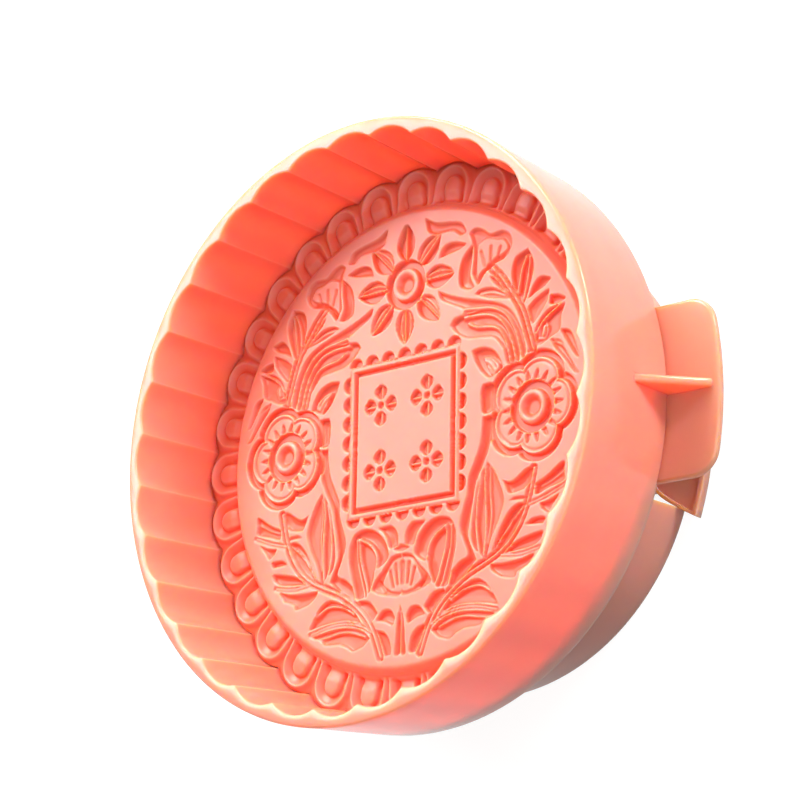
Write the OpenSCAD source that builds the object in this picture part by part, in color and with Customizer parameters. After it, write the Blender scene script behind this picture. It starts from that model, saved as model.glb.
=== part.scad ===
// Mooncake press: a fluted round mould with a carved stamp, pushed out by hand against four springs.
// Origin at the centre of the palm face, +Z towards the open mould, +X through the finger plates.

/* [Mould] */
// Radius of the mould at the bottom of a flute, at the open rim
mould_r = 72.4; // [66:0.1:80]
// Number of flutes round the mould
flute_count = 32; // [28:2:36]
// Radius of a flute's arc at the open rim
flute_r = 11.5; // [10.5:0.1:13]
// Draft of the flutes, each side, in degrees
flute_draft = 2.5; // [1:0.1:3]

/* [Barrel] */
// Height of the barrel's side wall
barrel_h = 31; // [30:0.1:40]
// Thickness of the side wall behind a flute, at the rim
wall_t = 2.6; // [2.2:0.1:4]
// Draft of the outside, in degrees
outer_draft = 2.9; // [1:0.1:3]
// Thickness of the end wall
end_wall_t = 2.2; // [1.8:0.1:4]
// Set-back of the end wall's edge from the side wall
collar_inset = 1.4; // [0.5:0.1:2]

/* [Finger plates] */
// Distance from the axis to a finger plate's outer edge
ear_r = 87.6; // [84:0.1:100]
// Width of a finger plate
ear_w = 42.4; // [36:0.1:48]
// Thickness of a finger plate
ear_t = 1.9; // [1.5:0.1:2.2]
// Radius of a finger plate's corners
ear_corner_r = 7; // [3:0.5:10]
// Thickness of the gusset
rib_t = 2; // [1.5:0.1:4]
// Height of the gusset above the finger plate
rib_h = 14.4; // [8:0.1:20]
// Distance from the gusset's foot to the finger plate's edge
rib_inset = 2.1; // [1:0.1:6]

/* [Stamp] */
// Height that the centre stands above the foot of the arches
stamp_rise = 2.4; // [1:0.1:4]
// Radius of the raised centre
stamp_disc_r = 57.6; // [56:0.1:59]
// Width of the slope round the raised centre
stamp_slope_w = 3; // [1:0.1:4]
// Gap between the stamp's edge and the flutes
stamp_gap = 0.35; // [0.3:0.05:0.6]
// Thickness of the raised centre
stamp_t = 2.4; // [2:0.1:3]
// Width of the raised rim round each arch
arch_rim_w = 1.5; // [1:0.1:2]
// Depth of the groove inside each arch
arch_depth = 1.1; // [0.5:0.1:2]
// Radius of the shell inside each arch
shell_r = 5; // [3:0.1:5.5]

/* [Carving] */
// Depth of the hollows carved into the stamp's face
carve_depth = 1.2; // [0.6:0.1:1.4]
// Half width of the plain field in the middle
field_half_w = 15.2; // [12:0.1:16]
// Half height of the field
field_half_h = 17.3; // [14:0.1:18]
// Width of the groove that frames the field
frame_w = 1.6; // [1:0.1:2]
// Distance from that groove to the scallops round it
scallop_gap = 1.2; // [0.8:0.1:2]
// Radius of a scallop
scallop_r = 2.2; // [1.5:0.1:2.3]
// Reach of a petal of the field's four small flowers
blossom_r = 5.4; // [4:0.1:6]
// Radius of the hollow at a flower's heart
heart_r = 3.2; // [2:0.1:3.4]
// Inner radius of the groove round the heart
heart_groove_r = 4.2; // [4:0.1:5]
// Width of that groove
heart_groove_w = 2.4; // [1.5:0.1:2.6]
// Number of petals of the top flower
daisy_petals = 8; // [6:1:9]
// Reach of a petal from the top flower's centre
daisy_r = 16; // [13:0.5:16]
// Distance from the axis to the centre of the top flower
daisy_y = 39; // [38:0.5:40]
// Outer radius of a side flower
side_flower_r = 13.8; // [12:0.1:14]
// Width of the groove round a side flower
side_groove_w = 2.5; // [1.5:0.1:3]
// Distance from the axis to the centre of a side flower
side_flower_x = 40.2; // [39.5:0.1:41]

/* [Snap pegs] */
// Diameter of the snap pegs that hold the stamp on the press plate
peg_d = 4.4; // [3.5:0.1:5]
// Distance from a snap peg's centre to the press plate's edge
peg_inset = 6.5; // [5.5:0.1:7.5]
// Gap between a snap peg and its hole
peg_gap = 0.1; // [0.1:0.05:0.3]

/* [Press plate] */
// Thickness of the press plate
plate_t = 2.2; // [1.8:0.1:3]
// Gap between the press plate and the flutes' ridges
plate_gap = 0.6; // [0.4:0.1:1.5]
// Gap between the press plate and the end wall at rest
stop_gap = 0.2; // [0.1:0.1:0.5]

/* [Pusher cap] */
// Outer radius of the cap
cap_r = 60.8; // [60:0.1:62]
// Thickness of the skirt
skirt_t = 2.3; // [1.8:0.1:3]
// Thickness of the palm face
palm_t = 2.4; // [2:0.1:4]
// Rounding of the cap's rear edge
cap_edge_r = 1.6; // [0.5:0.1:2]
// Half width of the notch at each finger plate
notch_half_w = 20.1; // [18:0.1:24]
// Rounding of the skirt's rear corners at a notch
notch_corner_r = 2.2; // [1:0.1:3]
// Radius to which the notch is cut into the palm face
notch_r = 50; // [46:0.5:54]
// Radius of the posts
post_r = 3.8; // [3.4:0.1:4.5]
// Distance of the posts from the axis
post_circle_r = 51; // [49:0.1:52]

/* [Wing] */
// Distance from the axis to the wing's outer edge
wing_r = 66.8; // [64:0.1:72]
// Half width of the wing at its outer corners
wing_half_w = 23.2; // [18:0.1:26]
// Half width of the wing at its root
wing_root_half_w = 15.5; // [10:0.1:17]
// Height of the wing's rear face above the palm face
wing_z = 2; // [1:0.1:3]
// Thickness of the wing
wing_t = 1.8; // [1.5:0.1:3]
// Height of the wing's lip above its front face
lip_h = 0.8; // [0.4:0.1:1.5]
// Width of the lip
lip_w = 1.5; // [1:0.1:2.5]

/* [Motion] */
// Travel of the pusher
stroke = 23.5; // [18:0.5:26]
// Room left between wing and finger plate at full travel
travel_gap = 0.7; // [0.5:0.1:2]
// Running gap round the skirts, the posts and the notch's bridges
running_gap = 0.6; // [0.4:0.1:1]
// Gap round a post
post_gap = 0.35; // [0.3:0.05:0.6]

/* [Springs] */
// Wire diameter
wire_d = 1; // [0.8:0.1:1.2]
// Outer diameter of a spring
spring_od = 14; // [12:0.5:15]
// Number of turns
spring_turns = 7; // [5:1:8]
// Distance of the springs from the axis
spring_circle_r = 34; // [30:0.5:36]
// Height of the cup that a spring sits in, above the end wall's front face
cup_rise = 5.4; // [4.4:0.1:6.4]
// Thickness of the cup's wall and floor
cup_t = 1.2; // [1:0.1:1.6]
// Gap between a spring and its cup
spring_gap = 0.6; // [0.5:0.1:1]
// Room between the cups and the stamp's hollow at rest
cup_clear = 0.5; // [0.3:0.1:1]
// Height of the spigot on the palm face that a spring fits round
spigot_h = 2.5; // [1:0.1:3]

/* [Screws] */
// Thread diameter of the screws
screw_d = 3; // [2.5:0.1:3.5]
// Head diameter of the screws
screw_head_d = 5.6; // [5:0.1:6.5]
// Head height of the screws
screw_head_h = 1.8; // [1.2:0.1:2.2]
// Length of the screws under the head
screw_l = 12; // [8:1:16]
// Gap between a screw and its hole
screw_gap = 0.15; // [0.1:0.05:0.3]

/* [Hidden] */
eps = 0.01;
// Length by which a cut runs past the face that it opens
over = 1;
// Length by which a rib or a plate is sunk into the wall that carries it
weld = 0.6;

// Levels, from the palm face up
wing_top = wing_z + wing_t + lip_h;
end_z = wing_top + stroke + travel_gap;
floor_z = end_z + end_wall_t;
rim_z = floor_z + barrel_h;
plate_z = floor_z + stop_gap;
stamp_z = plate_z + plate_t;
cup_top_z = floor_z + cup_rise;
seat_z = cup_top_z - cup_t;
hollow_z = cup_top_z + cup_clear;
disc_z = hollow_z + stamp_t;
foot_z = disc_z - stamp_rise;
ear_top_z = end_z + ear_t;

// Finger plates: lap over the end wall, web between them and the slots, height of the gusset's toe
ear_lap = 3;
slot_web = 2;
toe_h = 0.4;

// Flutes
flute_step = 360 / flute_count;
flute_circle_r = mould_r - flute_r;
function draft_at(z) = 1 - (rim_z - z) * tan(flute_draft) / mould_r;
ridge_r = flute_circle_r * cos(flute_step / 2)
    + sqrt(pow(flute_r, 2) - pow(flute_circle_r * sin(flute_step / 2), 2));
barrel_r = mould_r + wall_t;
barrel_foot_r = barrel_r - barrel_h * tan(outer_draft);

// Stamp and press plate
stamp_scale = draft_at(stamp_z);
stamp_arc_r = flute_r * stamp_scale - stamp_gap;
stamp_circle_r = flute_circle_r * stamp_scale;
stamp_foot_r = stamp_disc_r + stamp_slope_w;
hollow_r = stamp_disc_r - stamp_t;
arch_foot_r = stamp_foot_r + 0.4;
arch_half_angle = flute_step / 2 - 0.6;
plate_r = ridge_r * draft_at(floor_z) - plate_gap;
peg_circle_r = plate_r - peg_inset;

// Carving: its leaves are drawn for a face of 57.6 mm radius
leaf_scale = stamp_disc_r / 57.6;
petal_gap = 0.6;
lobe_count = 5;
lobe_turn = 70;
frame_outer = [field_half_w + frame_w, field_half_h + frame_w];
scallop_line = frame_outer + [scallop_gap, scallop_gap];

// Pusher
slot_r_out = cap_r + running_gap;
slot_r_in = cap_r - skirt_t - running_gap;
bridge_half_w = notch_half_w - running_gap;
// Length by which a wing laps over the palm face, and length of its straight neck
wing_lap = 4;
wing_neck = 1;

// Springs
spring_r = (spring_od - wire_d) / 2;
cup_r = spring_od / 2 + spring_gap;
rings_per_turn = 8;
wire_sides = 6;
spigot_r = (spring_od / 2 - wire_d) * cos(180 / rings_per_turn) - spring_gap / 2;
// Gap between a spring's end and what it presses on
contact = 0.05;
spring_z0 = palm_t + wire_d / 2 + contact;
spring_z1 = seat_z - wire_d / 2 - contact;
turn_gap = 0.5;
end_pitch = wire_d + turn_gap;
corner_angles = [45, 135, 225, 315];
quarter_angles = [0, 90, 180, 270];

coral = [1, 0.56, 0.5];
coral_deep = [0.98, 0.5, 0.44];
steel = [0.75, 0.76, 0.78];

// A wedge from the axis, from -half to half degrees round +X
module wedge(half, reach, height) {
    linear_extrude(height)
        polygon([[0, 0], [reach, -reach * tan(half)], [reach, reach * tan(half)]]);
}

// Both sides of the part, at the two finger plates
module both_sides() {
    for (side = [0, 180]) rotate(side) children();
}

module round_at(angles, reach) {
    for (angle = angles) rotate(angle) translate([reach, 0, 0]) children();
}

module at_corners(reach) round_at(corner_angles, reach) children();

// ---- barrel ----

// Outline of arcs that stand side by side on a circle
module flute_outline(circle_r, arc_r) {
    core_r = circle_r + arc_r / 4;
    circle(r = core_r, $fn = 96);
    for (i = [0 : flute_count - 1])
        rotate(i * flute_step)
            translate([circle_r, 0]) circle(r = arc_r, $fn = 48);
}

module mould_bore() {
    foot = draft_at(floor_z);
    translate([0, 0, floor_z])
        linear_extrude(barrel_h + over, scale = draft_at(rim_z + over) / foot)
            flute_outline(flute_circle_r * foot, flute_r * foot);
}

module fluted_wall() {
    difference() {
        translate([0, 0, floor_z]) cylinder(h = barrel_h, r1 = barrel_foot_r, r2 = barrel_r, $fn = 128);
        mould_bore();
    }
}

// Arc slots that the cap's skirts run through, between the two bridges
module skirt_slots() {
    translate([0, 0, end_z - over])
        linear_extrude(end_wall_t + 2 * over)
            difference() {
                circle(r = slot_r_out, $fn = 128);
                circle(r = slot_r_in, $fn = 128);
                square([4 * cap_r, 2 * bridge_half_w], center = true);
            }
}

module spring_cups() {
    at_corners(spring_circle_r)
        translate([0, 0, end_z + eps])
            cylinder(h = cup_top_z - end_z - eps, r = cup_r + cup_t, $fn = 48);
}

module spring_cup_bores() {
    at_corners(spring_circle_r)
        translate([0, 0, end_z - over])
            cylinder(h = seat_z - end_z + over, r = cup_r, $fn = 48);
}

module end_wall() {
    difference() {
        union() {
            translate([0, 0, end_z]) cylinder(h = end_wall_t, r = barrel_foot_r - collar_inset, $fn = 128);
            spring_cups();
        }
        skirt_slots();
        spring_cup_bores();
        at_corners(post_circle_r)
            translate([0, 0, end_z - over])
                cylinder(h = end_wall_t + 2 * over, r = post_r + post_gap, $fn = 48);
    }
}

// Outline of a finger plate: straight sides, an outer arc round the axis and two round corners
module ear_outline() {
    side = ear_w / 2;
    corner_y = side - ear_corner_r;
    corner_reach = ear_r - ear_corner_r;
    corner_x = sqrt(pow(corner_reach, 2) - pow(corner_y, 2));
    root_x = barrel_foot_r - collar_inset - ear_lap;
    arc_y = ear_r * corner_y / corner_x;
    translate([root_x, -side]) square([corner_x - root_x, ear_w]);
    for (end = [-1, 1])
        translate([corner_x, end * corner_y]) circle(r = ear_corner_r, $fn = 48);
    intersection() {
        circle(r = ear_r, $fn = 180);
        polygon([[0, 0], [ear_r, -arc_y], [ear_r, arc_y]]);
    }
}

module finger_plate() {
    translate([0, 0, end_z])
        linear_extrude(ear_t)
            difference() {
                ear_outline();
                circle(r = slot_r_out + slot_web, $fn = 128);
            }
}

// Three-cornered gusset between the side wall and the finger plate
module gusset() {
    root = barrel_foot_r - weld;
    foot = ear_r - rib_inset;
    shoulder = barrel_foot_r + rib_h * tan(outer_draft);
    low = ear_top_z - weld;
    high = ear_top_z + rib_h;
    translate([0, rib_t / 2, 0])
        rotate([90, 0, 0])
            linear_extrude(rib_t)
                polygon([[root, low], [foot, low], [foot, ear_top_z + toe_h],
                         [shoulder, high], [root, high]]);
}

module barrel() {
    color(coral) {
        fluted_wall();
        end_wall();
        both_sides() {
            finger_plate();
            gusset();
        }
    }
}

// ---- stamp ----

// Groove between the rim of one arch and the shell inside it
module arch_groove() {
    groove_r = stamp_arc_r - arch_rim_w;
    intersection() {
        translate([stamp_circle_r, 0, 0])
            difference() {
                cylinder(h = arch_depth + over, r = groove_r, $fn = 48);
                translate([0, 0, -over]) cylinder(h = arch_depth + 3 * over, r = shell_r, $fn = 48);
            }
        wedge(arch_half_angle, 2 * mould_r, arch_depth + over);
        difference() {
            cylinder(h = arch_depth + over, r = mould_r, $fn = 128);
            translate([0, 0, -over]) cylinder(h = arch_depth + 3 * over, r = arch_foot_r, $fn = 128);
        }
    }
}

// Disc whose edge crosses the X axis at -half and half, and stands up to bulge over it
module bulge_disc(half, bulge) {
    reach = (half * half + bulge * bulge) / (2 * bulge);
    translate([0, bulge - reach]) circle(r = reach, $fn = 60);
}

// A leaf between two tips, with the bulge of its left and of its right side, seen along it.
// A side with a bulge below zero bends inwards, which makes a crescent.
module leaf(from, to, left, right) {
    along = to - from;
    half = norm(along) / 2;
    if (left < 0)
        leaf(to, from, right, left);
    else
        translate((from + to) / 2)
            rotate(atan2(along[1], along[0]))
                if (right > 0)
                    intersection() {
                        bulge_disc(half, left);
                        mirror([0, 1]) bulge_disc(half, right);
                    }
                else
                    difference() {
                        bulge_disc(half, left);
                        bulge_disc(half, -right);
                    }
}

// Leaves of the right half, by their place
module bud_leaves() {
    leaf([6, 55], [20, 49], 1.6, 0.6);
    leaf([21, 47.5], [34, 42], 2.2, 5.5);
    leaf([21.5, 45], [21.5, 33.5], -1.2, 4.2);
}

module upper_sprig() {
    leaf([38.3, 26.8], [39, 39.5], 4.2, 2);
    leaf([40, 27.5], [46.3, 31.3], 1.8, 0.8);
    leaf([41.3, 15.5], [50, 24], 3, 3);
    leaf([48.5, 17.5], [54.5, 9.5], 2, -0.3);
}

module long_leaves() {
    leaf([12.5, 32.8], [39.3, 14.5], 6.2, -4);
    leaf([15, 25], [37, 13], 7, -2);
    leaf([22, 16.8], [31.5, 11.8], 2.6, 3);
    leaf([26.5, 0], [21.6, -18.5], 2.6, 1.4);
    leaf([15, -39.8], [23.3, -34], 2, 0.8);
}

module lower_sprig() {
    leaf([27, -11], [25.5, -34], 5, 3);
    leaf([28.5, -34], [38.3, -22.8], 2.2, 1.2);
    leaf([31.5, -17.5], [40.3, -15], 0.8, 3.2);
    leaf([41.3, -20], [49.8, -16], 1.6, 2);
    leaf([32.3, -34], [43.3, -31], 1.6, 1.4);
    leaf([27.5, -36], [41, -35.3], 0.6, 3.6);
    leaf([12.5, -46.3], [30.3, -45.8], 6.2, -0.6);
    leaf([9.8, -50.5], [28, -48.4], 2.2, 2);
}

module tulip_petals() {
    leaf([10.5, -39.5], [14.5, -23], 7, 3.4);
    leaf([1, -28], [8, -22.7], 1.6, 1);
    leaf([7.8, -48], [4, -55], 1, 1.6);
}

module tulip_bud() {
    leaf([0, -41], [0, -29], 5.5, 5.5);
    leaf([0, -55], [0, -43], 1.2, 1.2);
}

module flower_heart() {
    circle(r = heart_r, $fn = 48);
    difference() {
        circle(r = heart_groove_r + heart_groove_w, $fn = 64);
        circle(r = heart_groove_r, $fn = 48);
    }
}

module daisy() {
    root = heart_groove_r + heart_groove_w + petal_gap;
    bulge = (root + daisy_r) / 2 * sin(180 / daisy_petals) - 2 * petal_gap;
    flower_heart();
    for (i = [0 : daisy_petals - 1])
        rotate(90 + i * 360 / daisy_petals) leaf([root, 0], [daisy_r, 0], bulge, bulge);
}

module lobes(reach) {
    for (i = [0 : lobe_count - 1])
        rotate(lobe_turn + i * 360 / lobe_count) translate([reach / 2, 0]) circle(r = reach / 2, $fn = 48);
}

module side_flower() {
    flower_heart();
    difference() {
        lobes(side_flower_r);
        lobes(side_flower_r - side_groove_w);
    }
}

// A small plain flower, four of which fill the field
module blossom() {
    for (turn = quarter_angles)
        rotate(turn) leaf([petal_gap, 0], [blossom_r, 0], blossom_r / 4, blossom_r / 4);
}

// Groove round the field and the row of scallops outside it
module field_frame() {
    steps = [6, 7];
    pitch = [2 * scallop_line[0] / steps[0], 2 * scallop_line[1] / steps[1]];
    difference() {
        square(2 * frame_outer, center = true);
        square(2 * [field_half_w, field_half_h], center = true);
    }
    difference() {
        for (end = [-1, 1]) {
            for (i = [0 : steps[0]])
                translate([i * pitch[0] - scallop_line[0], end * scallop_line[1]])
                    circle(r = scallop_r, $fn = 32);
            for (i = [1 : steps[1] - 1])
                translate([end * scallop_line[0], i * pitch[1] - scallop_line[1]])
                    circle(r = scallop_r, $fn = 32);
        }
        square(2 * scallop_line, center = true);
    }
}

module carving() {
    scale(leaf_scale) {
        for (side = [0, 1])
            mirror([side, 0]) {
                bud_leaves();
                upper_sprig();
                long_leaves();
                lower_sprig();
                tulip_petals();
            }
        tulip_bud();
    }
    for (side = [0, 1])
        mirror([side, 0]) {
            translate([side_flower_x, 0]) side_flower();
            for (end = [-1, 1]) translate([field_half_w, end * field_half_h] / 2) blossom();
        }
    translate([0, daisy_y]) daisy();
    field_frame();
}

module stamp_plate() {
    color(coral_deep)
        difference() {
            union() {
                translate([0, 0, stamp_z])
                    linear_extrude(foot_z - stamp_z) flute_outline(stamp_circle_r, stamp_arc_r);
                translate([0, 0, foot_z - eps])
                    cylinder(h = stamp_rise + eps, r1 = stamp_foot_r, r2 = stamp_disc_r, $fn = 128);
                round_at(quarter_angles, peg_circle_r)
                    translate([0, 0, plate_z]) cylinder(h = plate_t + eps, r = peg_d / 2, $fn = 32);
            }
            translate([0, 0, stamp_z - over])
                cylinder(h = hollow_z - stamp_z + over, r = hollow_r, $fn = 128);
            for (i = [0 : flute_count - 1])
                rotate(i * flute_step) translate([0, 0, foot_z - arch_depth]) arch_groove();
            translate([0, 0, disc_z - carve_depth]) linear_extrude(carve_depth + over) carving();
        }
}

// ---- press plate ----

module press_plate() {
    color(coral)
        translate([0, 0, plate_z])
            difference() {
                cylinder(h = plate_t, r = plate_r, $fn = 128);
                translate([0, 0, -over]) {
                    at_corners(spring_circle_r)
                        cylinder(h = plate_t + 2 * over, r = cup_r + cup_t + running_gap, $fn = 48);
                    at_corners(post_circle_r)
                        cylinder(h = plate_t + 2 * over, r = screw_d / 2 + screw_gap, $fn = 32);
                    round_at(quarter_angles, peg_circle_r)
                        cylinder(h = plate_t + 2 * over, r = peg_d / 2 + peg_gap, $fn = 32);
                }
            }
}

// ---- pusher cap ----

module cap_profile() {
    square([cap_r - cap_edge_r, palm_t]);
    translate([cap_r - skirt_t, cap_edge_r]) square([skirt_t, plate_z - cap_edge_r]);
    translate([cap_r - cap_edge_r, cap_edge_r]) circle(r = cap_edge_r, $fn = 48);
}

// The cut at one finger plate: two flat sides that round outwards at the cap's rear
module notch() {
    difference() {
        rotate([90, 0, 90])
            linear_extrude(2 * cap_r) {
                translate([-notch_half_w, -over]) square([2 * notch_half_w, plate_z + 2 * over]);
                difference() {
                    half_w = notch_half_w + notch_corner_r;
                    translate([-half_w, -over]) square([2 * half_w, notch_corner_r + over]);
                    for (end = [-1, 1])
                        translate([end * half_w, notch_corner_r]) circle(r = notch_corner_r, $fn = 48);
                }
            }
        translate([0, 0, -2 * over]) cylinder(h = plate_z + 4 * over, r = notch_r, $fn = 128);
    }
}

// A wing's outline, drawn in by inset: it flares from its root to an arc round the axis
module wing_outline(inset) {
    root_x = notch_r - wing_lap;
    knee_x = notch_r + wing_neck;
    root_y = wing_root_half_w;
    corner_x = sqrt(pow(wing_r, 2) - pow(wing_half_w, 2));
    flare = (wing_half_w - root_y) / (corner_x - knee_x);
    tip_y = root_y + flare * (wing_r - knee_x);
    intersection() {
        circle(r = wing_r - inset, $fn = 180);
        polygon([[root_x, inset - root_y], [knee_x, inset - root_y], [wing_r, inset - tip_y],
                 [wing_r, tip_y - inset], [knee_x, root_y - inset], [root_x, root_y - inset]]);
    }
}

module wing() {
    translate([0, 0, wing_z]) linear_extrude(wing_t) wing_outline(0);
    translate([0, 0, wing_z + wing_t - eps])
        linear_extrude(lip_h + eps)
            difference() {
                wing_outline(0);
                wing_outline(lip_w);
                circle(r = notch_r + wing_neck, $fn = 128);
            }
}

module pusher_cap() {
    color(coral) {
        difference() {
            union() {
                difference() {
                    rotate_extrude($fn = 128) cap_profile();
                    both_sides() notch();
                }
                at_corners(post_circle_r)
                    translate([0, 0, palm_t - eps])
                        cylinder(h = plate_z - palm_t + eps, r = post_r, $fn = 48);
                at_corners(spring_circle_r)
                    translate([0, 0, palm_t - eps]) cylinder(h = spigot_h + eps, r = spigot_r, $fn = 48);
            }
            at_corners(post_circle_r)
                translate([0, 0, stamp_z - screw_l - over])
                    cylinder(h = screw_l + 2 * over, r = screw_d / 2 + screw_gap, $fn = 32);
        }
        both_sides() wing();
    }
}

// ---- springs ----

// Rings of the wire's section, joined ring by ring into one closed tube
module wire_tube(rings) {
    sides = len(rings[0]);
    count = len(rings);
    points = [for (ring = rings) each ring];
    skin = [for (i = [0 : count - 2], j = [0 : sides - 1])
        let (k = (j + 1) % sides, a = i * sides, b = (i + 1) * sides)
        each [[a + j, a + k, b + k], [a + j, b + k, b + j]]];
    first = [for (j = [1 : sides - 2]) [0, j + 1, j]];
    last = [for (j = [1 : sides - 2]) let (a = (count - 1) * sides) [a, a + j, a + j + 1]];
    polyhedron(points, concat(skin, first, last));
}

spring_span = spring_z1 - spring_z0;
body_turns = spring_turns - 2;
body_pitch = (spring_span - 2 * end_pitch) / body_turns;
function coil_z(turn) =
    turn < 1 ? spring_z0 + end_pitch * turn
    : turn > spring_turns - 1 ? spring_z1 - end_pitch * (spring_turns - turn)
    : spring_z0 + end_pitch + body_pitch * (turn - 1);
function coil_pitch(turn) = turn < 1 || turn > spring_turns - 1 ? end_pitch : body_pitch;
function coil_point(turn) = [spring_r * cos(360 * turn), spring_r * sin(360 * turn), coil_z(turn)];
function coil_ring(turn) =
    let (out = [cos(360 * turn), sin(360 * turn), 0],
         rise = coil_pitch(turn) / (2 * PI * spring_r),
         along = [-sin(360 * turn), cos(360 * turn), rise] / sqrt(1 + rise * rise),
         up = cross(out, along))
    [for (j = [0 : wire_sides - 1])
        coil_point(turn) + wire_d / 2 * (cos(j * 360 / wire_sides) * out + sin(j * 360 / wire_sides) * up)];
coil_turns = [for (i = [0 : spring_turns * rings_per_turn]) i / rings_per_turn];
turn_gaps = [for (turn = coil_turns) if (turn <= spring_turns - 1)
    norm(coil_point(turn + 1) - coil_point(turn)) - wire_d];
echo(least_gap_between_turns = min(turn_gaps));

module spring(angle) {
    color(steel)
        rotate(angle) translate([spring_circle_r, 0, 0])
            wire_tube([for (turn = coil_turns) coil_ring(turn)]);
}

module return_spring_1() spring(corner_angles[0]);
module return_spring_2() spring(corner_angles[1]);
module return_spring_3() spring(corner_angles[2]);
module return_spring_4() spring(corner_angles[3]);

// ---- screws ----

module plate_screws() {
    color(steel)
        at_corners(post_circle_r)
            translate([0, 0, stamp_z]) {
                cylinder(h = screw_head_h, r = screw_head_d / 2, $fn = 32);
                translate([0, 0, -screw_l]) cylinder(h = screw_l + eps, r = screw_d / 2, $fn = 32);
            }
}

barrel();
stamp_plate();
press_plate();
pusher_cap();
return_spring_1();
return_spring_2();
return_spring_3();
return_spring_4();
plate_screws();
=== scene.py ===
# %% [markdown]
# # A hand press for a large mooncake
# The real tool is a few thick mouldings in a soft, translucent coral plastic. A round barrel with a
# fluted wall holds the dough, a carved stamp gives the cake its top, and a cap behind the barrel is
# pushed with the palm against four springs. This lesson dresses the measured model of that tool: every
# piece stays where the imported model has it, and each gets the rounded edges, the carving and the glow of
# the real moulding.

import math

import bpy
import numpy as np
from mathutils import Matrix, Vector


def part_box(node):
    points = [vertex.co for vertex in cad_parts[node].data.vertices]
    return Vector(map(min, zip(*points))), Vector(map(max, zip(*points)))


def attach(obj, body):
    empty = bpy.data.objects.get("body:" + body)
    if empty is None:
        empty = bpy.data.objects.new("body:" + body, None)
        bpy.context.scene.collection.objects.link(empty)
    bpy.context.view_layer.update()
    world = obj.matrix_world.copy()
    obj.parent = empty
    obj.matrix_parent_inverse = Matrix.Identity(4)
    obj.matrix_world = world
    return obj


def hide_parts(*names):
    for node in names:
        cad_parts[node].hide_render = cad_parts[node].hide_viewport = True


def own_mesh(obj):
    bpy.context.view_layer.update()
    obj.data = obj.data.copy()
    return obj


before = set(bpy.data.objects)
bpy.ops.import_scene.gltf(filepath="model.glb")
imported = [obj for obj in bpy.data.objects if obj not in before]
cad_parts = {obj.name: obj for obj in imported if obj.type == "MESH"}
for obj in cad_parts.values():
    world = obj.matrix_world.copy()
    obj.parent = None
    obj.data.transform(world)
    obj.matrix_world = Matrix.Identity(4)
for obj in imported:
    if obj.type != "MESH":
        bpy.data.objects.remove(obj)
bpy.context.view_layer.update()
print("nodes:", sorted(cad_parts))

# %% [markdown]
# ## Sizes
# All the maths below is in millimetres, and a mesh is scaled to metres only when it is made. What the
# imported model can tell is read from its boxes, so that the looks follow it. The rest are the moulding's
# own small sizes: its rounded edges, its draft and the width of each groove.

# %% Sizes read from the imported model
MM = 0.001


def corners_of(node):
    low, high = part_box(node)
    return np.array(low) / MM, np.array(high) / MM


barrel_low, barrel_high = corners_of("barrel")
cap_high = corners_of("pusher_cap")[1]
plate_high = corners_of("press_plate")[1]
stamp_high = corners_of("stamp_plate")[1]
rim_z = barrel_high[2]
end_z = barrel_low[2]
rim_r = barrel_high[1]
ear_r = barrel_high[0]
wing_r = cap_high[0]
cap_r = cap_high[1]
post_top_z = cap_high[2]
stamp_z = plate_high[2]
disc_z = stamp_high[2]
print(f"barrel {2 * rim_r:.1f} mm across, from {end_z:.1f} to {rim_z:.1f} mm above the palm face")

# %% Sizes of the mouldings
flute_count = 32
flute_r = 11.5
wall_t = 2.6
mould_r = rim_r - wall_t
flute_circle_r = mould_r - flute_r
flute_draft = math.tan(math.radians(2.5))
outer_draft = math.tan(math.radians(2.9))
end_wall_t = 2.2
collar_inset = 1.4
floor_z = end_z + end_wall_t
wall_foot_r = rim_r - (rim_z - floor_z) * outer_draft
flute_step = 2 * math.pi / flute_count


def draft_at(z):
    """Size of the fluted opening at a level, as a share of its size at the rim."""
    return 1 - (rim_z - z) * flute_draft / mould_r


print(f"cavity {2 * mould_r:.1f} mm across at the rim, {rim_z - floor_z:.1f} mm above the end wall")


# %% [markdown]
# ## Mesh helpers
# Nearly everything here is a skin over rings: a turned cap, a fluted wall, a wire or a plate with rounded
# edges is a row of closed rings with the same number of points, joined ring to ring with quads. One
# helper joins them and closes the two ends, so that every piece is a watertight shell, as a moulding is.

# %% Rings, skins and pieces
def ring(radius, angles, z):
    radius = np.broadcast_to(radius, angles.shape)
    return np.stack([radius * np.cos(angles), radius * np.sin(angles), np.broadcast_to(z, angles.shape)], 1)


def flat_ring(outline, z):
    """An outline of x and y, laid at one level."""
    return np.column_stack([outline, np.full(len(outline), z)])


def skin(rings):
    """Points and faces of a closed skin over rings of equal length, with a flat face at each end."""
    rings = np.asarray(rings)
    rows, count = rings.shape[:2]
    index = np.arange(rows * count).reshape(rows, count)
    after = np.roll(index, -1, axis=1)
    quads = np.stack([index[:-1], after[:-1], after[1:], index[1:]], -1).reshape(-1, 4).tolist()
    return rings.reshape(-1, 3), quads + [index[0, ::-1].tolist(), index[-1].tolist()]


def make_piece(name, points, faces, smooth_below=40):
    mesh = bpy.data.meshes.new(name)
    mesh.from_pydata(np.asarray(points) * MM, [], faces)
    mesh.validate()
    mesh.shade_smooth()
    mesh.set_sharp_from_angle(angle=math.radians(smooth_below))
    thing = bpy.data.objects.new(name, mesh)
    bpy.context.scene.collection.objects.link(thing)
    return thing


def prism(name, outline, low, high):
    """A plain block with sharp edges."""
    return make_piece(name, *skin([flat_ring(outline, z) for z in (low, high)]))


def read(items, key, width, kind=float):
    """One row of numbers for each item of a mesh."""
    values = np.empty(len(items) * width, kind)
    items.foreach_get(key, values)
    return values.reshape(-1, width)


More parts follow.
